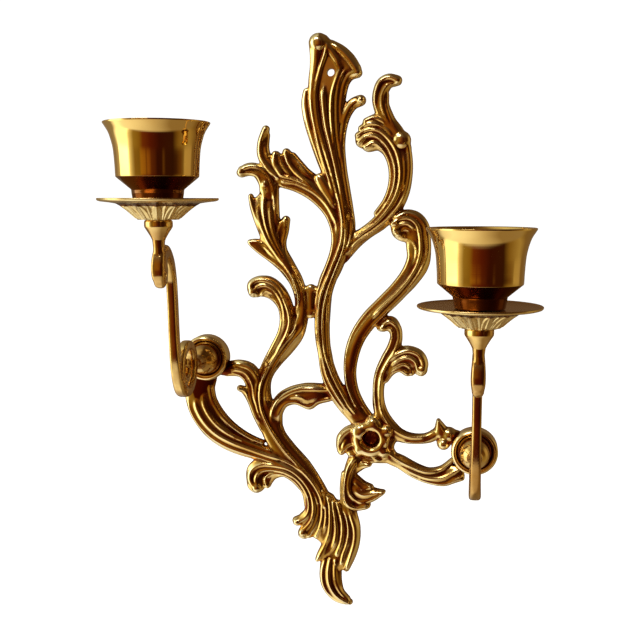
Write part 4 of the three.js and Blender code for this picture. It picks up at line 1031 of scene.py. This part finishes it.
def dressed(tree, shader, colour, rough, height, distance, strength):
    """Gives a shader its colour and roughness, and a bump of this height."""
    fed(tree, shader.inputs["Base Color"], colour)
    fed(tree, shader.inputs["Roughness"], rough)
    bump = node(tree, "ShaderNodeBump", Height=height, Distance=distance, Strength=strength)
    fed(tree, shader.inputs["Normal"], bump.outputs["Normal"])


BRIGHT_BRASS = (0.89, 0.62, 0.22)
DEEP_BRASS = (0.70, 0.40, 0.085)
# the dark maroon of the grooves: partly real patina, partly painted shade
PATINA_AND_PAINTED_SHADE = (0.17, 0.024, 0.003)
RAW_BRASS = (0.46, 0.29, 0.09)
RAW_STAIN = (0.24, 0.11, 0.03)
TARNISH = (0.38, 0.15, 0.025)
WORN_CREST = (0.94, 0.73, 0.35)
CUP_BRASS = (0.88, 0.60, 0.19)
CUP_CLOUD = (0.76, 0.45, 0.11)
# painted shade for the cup's foot and chamfer, a tint in place of their dark reflections
CUP_PAINTED_SHADE = (0.16, 0.022, 0.003)
PAN_BRASS = (0.9, 0.68, 0.30)
PAN_CLOUD = (0.74, 0.50, 0.17)
# painted shade for the pan's upward faces
PAN_TOP_PAINTED_SHADE = (0.52, 0.27, 0.055)
PAN_PATINA = (0.13, 0.045, 0.01)
MACHINED = (0.74, 0.55, 0.26)
MACHINED_STAIN = (0.40, 0.25, 0.09)


def cast_brass():
    """Hand-polished casting with bright crests, brown patina in the grooves that also paints shade in the
    creases, and a raw back.
    """
    material, tree, shader = shader_tree("antique_cast_brass")
    groove = stored_value(tree, "groove")
    blotch = noise(tree, 60.0, 4.0, 0.6)
    wander = computed(tree, "MULTIPLY", computed(tree, "SUBTRACT", blotch, 0.5), 0.12)
    depth = computed(tree, "ADD", groove, wander)
    # The grooves go dark maroon: partly the casting's real patina, partly painted shade in its creases.
    groove_darkening = ramped(tree, depth, 0.0, 0.17)
    tone = mixed(tree, ramped(tree, noise(tree, 28.0, 3.0), 0.35, 0.7), BRIGHT_BRASS, DEEP_BRASS)
    crest = ramped(tree, depth, -0.2, -0.04, 1.0, 0.0)
    worn = mixed(tree, crest, tone, WORN_CREST)
    back = stored_value(tree, "back")
    raw = mixed(tree, ramped(tree, noise(tree, 130.0, 5.0, 0.65), 0.38, 0.62), RAW_BRASS, RAW_STAIN)
    colour = mixed(tree, back, mixed(tree, groove_darkening, worn, PATINA_AND_PAINTED_SHADE), raw)
    front = computed(tree, "ADD", ramped(tree, blotch, 0.3, 0.8, 0.14, 0.21),
                     computed(tree, "MULTIPLY", groove_darkening, 0.16))
    rough = computed(tree, "MAXIMUM", front, computed(tree, "MULTIPLY", back, 0.4))
    dressed(tree, shader, colour, rough, noise(tree, 450.0, 1.0, 0.5), 0.00003, 0.15)
    return material


def polished_brass():
    """The arms and knobs: smoother castings with faint polishing lines and a few tarnished patches."""
    material, tree, shader = shader_tree("polished_brass")
    groove = stored_value(tree, "groove")
    blotch = noise(tree, 45.0, 4.0, 0.6)
    tone = mixed(tree, ramped(tree, blotch, 0.4, 0.75), BRIGHT_BRASS, DEEP_BRASS)
    tone = mixed(tree, ramped(tree, noise(tree, 24.0, 4.0, 0.6), 0.38, 0.6, 0.0, 0.6), tone, TARNISH)
    # The grooves go dark maroon: partly real patina, partly painted shade in the hollows of the scrolls.
    groove_darkening = ramped(tree, computed(tree, "ADD", groove, computed(tree, "MULTIPLY", blotch, 0.1)), 0.1, 0.34)
    lines = noise(tree, 260.0, 2.0, 0.5, (6, 6, 0.6))
    rough = ramped(tree, lines, 0.25, 0.8, 0.10, 0.17)
    dressed(tree, shader, mixed(tree, groove_darkening, tone, PATINA_AND_PAINTED_SHADE), rough, lines, 0.00002, 0.25)
    return material


def mirror_brass():
    """The cups: turned and mirror polished, with the lathe's faint rings, thin tarnish, and painted shade on
    the foot.
    """
    material, tree, shader = shader_tree("mirror_brass")
    cloud = noise(tree, 22.0, 3.0, 0.55)
    tone = mixed(tree, ramped(tree, cloud, 0.4, 0.75), CUP_BRASS, CUP_CLOUD)
    # Painted shade: the stored foot value darkens the foot and chamfer to maroon, in place of the darker
    # reflections there.
    painted_shade = computed(tree, "MULTIPLY", stored_value(tree, "foot"), 0.86)
    tone = mixed(tree, painted_shade, tone, CUP_PAINTED_SHADE)
    rings = noise(tree, 3.0, 3.0, 0.6, (1, 1, 420))
    specks = ramped(tree, noise(tree, 700.0, 1.0), 0.68, 0.8)
    rough = computed(tree, "ADD", ramped(tree, rings, 0.3, 0.75, 0.025, 0.07),
                     computed(tree, "MULTIPLY", specks, 0.12))
    height = computed(tree, "ADD", rings, computed(tree, "MULTIPLY", cloud, 2.0))
    dressed(tree, shader, tone, rough, height, 0.00003, 0.35)
    return material


def satin_brass():
    """The drip pans: paler satin casting, with patina round the leaves and painted shade on the faces that
    look up.
    """
    material, tree, shader = shader_tree("satin_brass")
    groove = stored_value(tree, "groove")
    blotch = noise(tree, 70.0, 4.0, 0.6)
    tone = mixed(tree, ramped(tree, blotch, 0.35, 0.7), PAN_BRASS, PAN_CLOUD)
    groove_darkening = ramped(tree, computed(tree, "ADD", groove, computed(tree, "MULTIPLY", blotch, 0.03)), 0.03, 0.15)
    # Painted shade: faces that look up get a darker brass, so that the pan's top looks less lit.
    normal = node(tree, "ShaderNodeNewGeometry").outputs["Normal"]
    upward = node(tree, "ShaderNodeSeparateXYZ", Vector=normal).outputs["Z"]
    tone = mixed(tree, ramped(tree, upward, 0.5, 0.9), tone, PAN_TOP_PAINTED_SHADE)
    grain = noise(tree, 1400.0, 2.0, 0.6)
    rough = ramped(tree, grain, 0.2, 0.8, 0.18, 0.3)
    dressed(tree, shader, mixed(tree, groove_darkening, tone, PAN_PATINA), rough, grain, 0.00005, 0.5)
    return material


def hardware_brass():
    """Washers, nuts and screws: plain machined brass, dulled and a little stained."""
    material, tree, shader = shader_tree("machined_brass")
    stain = noise(tree, 180.0, 4.0, 0.6)
    tone = mixed(tree, ramped(tree, stain, 0.35, 0.75), MACHINED, MACHINED_STAIN)
    turning = noise(tree, 12.0, 2.0, 0.6, (1, 220, 1))
    dressed(tree, shader, tone, ramped(tree, stain, 0.3, 0.8, 0.28, 0.46), turning, 0.00004, 0.5)
    return material


# ------------------------------------------------------------------ studio
CAMERA_PLACE = (83.9, -610.2, -76.9)
CAMERA_YAW = 0.148              # to the left of +Y
CAMERA_PITCH = -0.123
CAMERA_ROLL = 0.001


def camera():
    data = bpy.data.cameras.new("camera")
    data.lens = 55.0
    data.sensor_width = 36.0
    data.clip_start, data.clip_end = 0.01, 20
    thing = bpy.data.objects.new("camera", data)
    bpy.context.scene.collection.objects.link(thing)
    thing.location = Vector(CAMERA_PLACE) * MM
    looking = Vector((-math.sin(CAMERA_YAW) * math.cos(CAMERA_PITCH),
                      math.cos(CAMERA_YAW) * math.cos(CAMERA_PITCH), math.sin(CAMERA_PITCH)))
    thing.rotation_mode = "QUATERNION"
    roll = Quaternion((0, 0, 1), CAMERA_ROLL)
    thing.rotation_quaternion = looking.to_track_quat("-Z", "Y") @ roll
    bpy.context.scene.camera = thing


def softbox(name, azimuth, elevation, width, height, power, colour, distance=1.3):
    """An area light that faces the object. Azimuth 0 is in front of the sconce, 90 to its right."""
    low, high = CAD_BOX
    middle = (low + high) / 2
    a, e = math.radians(azimuth), math.radians(elevation)
    away = Vector((math.sin(a) * math.cos(e), -math.cos(a) * math.cos(e), math.sin(e)))
    data = bpy.data.lights.new(name, "AREA")
    data.shape = "RECTANGLE"
    data.size, data.size_y = width, height
    data.energy = power
    data.color = colour
    thing = bpy.data.objects.new(name, data)
    bpy.context.scene.collection.objects.link(thing)
    thing.location = middle + away * distance
    thing.rotation_mode = "QUATERNION"
    thing.rotation_quaternion = (-away).to_track_quat("-Z", "Y")


# The room that the brass mirrors, as azimuth in degrees and colour: at the horizon, a little below
# it, far below it and above it. Azimuth 0 is in front of the sconce, -90 to its left.
# Azimuth 0 is in front of the sconce and 90 to its right, in degrees.
HORIZON = [(-180, (0.16, 0.1, 0.05)), (-150, (0.3, 0.24, 0.17)), (-125, (0.24, 0.18, 0.11)),
           (-104, (0.5, 0.42, 0.28)), (-99, (2.1, 2.3, 2.2)), (-66, (2.6, 2.9, 2.8)),
           (-60, (1, 0.95, 0.7)), (-52, (0.5, 0.44, 0.26)), (-44, (0.24, 0.15, 0.03)),
           (-30, (0.2, 0.12, 0.02)), (-26, (0.34, 0.17, 0.02)), (-14, (0.28, 0.12, 0.015)),
           (-11, (0.14, 0.05, 0.007)), (-8, (0.26, 0.1, 0.014)), (-2, (0.2, 0.07, 0.01)),
           (2, (0.1, 0.025, 0.006)), (12, (0.07, 0.016, 0.004)), (18, (0.03, 0.006, 0.002)),
           (30, (0.032, 0.007, 0.002)), (34, (0.1, 0.04, 0.008)), (40, (0.032, 0.008, 0.002)),
           (60, (0.028, 0.008, 0.002)), (70, (0.045, 0.014, 0.003)), (84, (0.13, 0.055, 0.01)),
           (92, (0.2, 0.13, 0.04)), (96, (0.46, 0.35, 0.16)), (118, (0.42, 0.31, 0.15)),
           (124, (0.18, 0.11, 0.04)), (150, (0.2, 0.14, 0.08)), (180, (0.16, 0.1, 0.05))]
LOW = [(-180, (0.16, 0.1, 0.05)), (-112, (0.3, 0.25, 0.17)), (-100, (1.5, 1.5, 1.4)),
       (-66, (1.8, 1.9, 1.7)), (-58, (0.8, 0.7, 0.45)), (-46, (0.3, 0.21, 0.05)),
       (-30, (0.24, 0.14, 0.02)), (-20, (0.15, 0.035, 0.007)), (0, (0.085, 0.012, 0.003)),
       (24, (0.036, 0.006, 0.002)), (60, (0.036, 0.01, 0.003)), (76, (0.2, 0.12, 0.025)),
       (110, (0.36, 0.27, 0.11)), (130, (0.2, 0.13, 0.05)), (180, (0.16, 0.1, 0.05))]
BELOW = [(-180, (0.24, 0.19, 0.12)), (-90, (1.2, 1.25, 1.3)), (-40, (0.95, 0.95, 0.95)),
         (10, (0.62, 0.56, 0.48)), (60, (0.3, 0.23, 0.14)), (110, (0.3, 0.23, 0.14)),
         (180, (0.24, 0.19, 0.12))]
ABOVE = [(-180, (0.10, 0.06, 0.03)), (-80, (0.7, 0.7, 0.6)), (-20, (0.2, 0.14, 0.08)),
         (40, (0.06, 0.03, 0.012)), (120, (0.10, 0.06, 0.025)), (180, (0.10, 0.06, 0.03))]


# Where, in height over the horizon, the room goes over into each set of stops, from below.
ROOM_BANDS = [(-0.66, -0.54, LOW), (-0.26, -0.06, HORIZON), (0.25, 0.7, ABOVE)]
ROOM_STRENGTH = 1.1
FLOOR_RADIUS = 2500
FLOOR_DROP = 0.12              # metres from the sconce's lowest point down to the floor


def all_round(tree, azimuth, stops):
    """A colour that changes with azimuth, through the given stops."""
    ramp = tree.nodes.new("ShaderNodeValToRGB")
    elements = ramp.color_ramp.elements
    while len(elements) < len(stops):
        elements.new(0.5)
    for element, (degrees, colour) in zip(elements, stops):
        element.position = (degrees + 180) / 360
        element.color = (*colour, 1)
    tree.links.new(azimuth, ramp.inputs["Fac"])
    return ramp.outputs["Color"]


def surroundings():
    """White behind the object, and a dim warm room that its brass mirrors."""
    world = bpy.data.worlds.new("studio")
    bpy.context.scene.world = world
    world.use_nodes = True
    tree = world.node_tree
    background = tree.nodes["Background"]
    background.inputs["Strength"].default_value = ROOM_STRENGTH
    direction = node(tree, "ShaderNodeTexCoord").outputs["Generated"]
    parts = node(tree, "ShaderNodeSeparateXYZ", Vector=direction)
    forward = computed(tree, "MULTIPLY", parts.outputs["Y"], -1.0)
    angle = computed(tree, "ARCTAN2", parts.outputs["X"], forward)
    azimuth = computed(tree, "ADD", computed(tree, "DIVIDE", angle, 2 * math.pi), 0.5)
    height = parts.outputs["Z"]
    room = all_round(tree, azimuth, BELOW)
    for start, end, stops in ROOM_BANDS:
        room = mixed(tree, ramped(tree, height, start, end), room, all_round(tree, azimuth, stops))
    seen = node(tree, "ShaderNodeLightPath").outputs["Is Camera Ray"]
    tree.links.new(mixed(tree, seen, room, (1.0, 1.0, 1.0)), background.inputs["Color"])


def floor():
    """A plain pale round floor below the sconce."""
    disc = lathe([(0, 0), (FLOOR_RADIUS, 0), (FLOOR_RADIUS, -10), (0, -10)], 128)
    thing = raw_object("floor", disc)
    thing.data.transform(Matrix.Scale(MM, 4))
    thing.location.z = CAD_BOX[0].z - FLOOR_DROP
    material, tree, shader = shader_tree("pale_floor")
    shader.inputs["Metallic"].default_value = 0
    shader.inputs["Roughness"].default_value = 0.8
    pale = mixed(tree, noise(tree, 3.0), (0.9, 0.9, 0.9), (0.94, 0.94, 0.94))
    tree.links.new(pale, shader.inputs["Base Color"])
    tree.links.new(pale, shader.inputs["Emission Color"])
    shader.inputs["Emission Strength"].default_value = 1.0
    thing.data.materials.append(material)
    thing.visible_glossy = False
    thing.visible_diffuse = False


# ------------------------------------------------------------------ the scene
camera()
surroundings()
floor()
softbox("upper_window", -30, 52, 0.6, 0.4, 5, (0.9, 0.95, 1.0))

scene = bpy.context.scene
scene.view_settings.view_transform = "Standard"

build_backplate(cast_brass())
polished, mirror, satin, machined = polished_brass(), mirror_brass(), satin_brass(), hardware_brass()
for side in SIDES:
    build_arm(side, polished)
    build_knob(side, polished)
    build_washer_and_nut(side, machined)
    build_pan(side, satin)
    build_cup(side, mirror)
    build_cup_screw(side, machined)
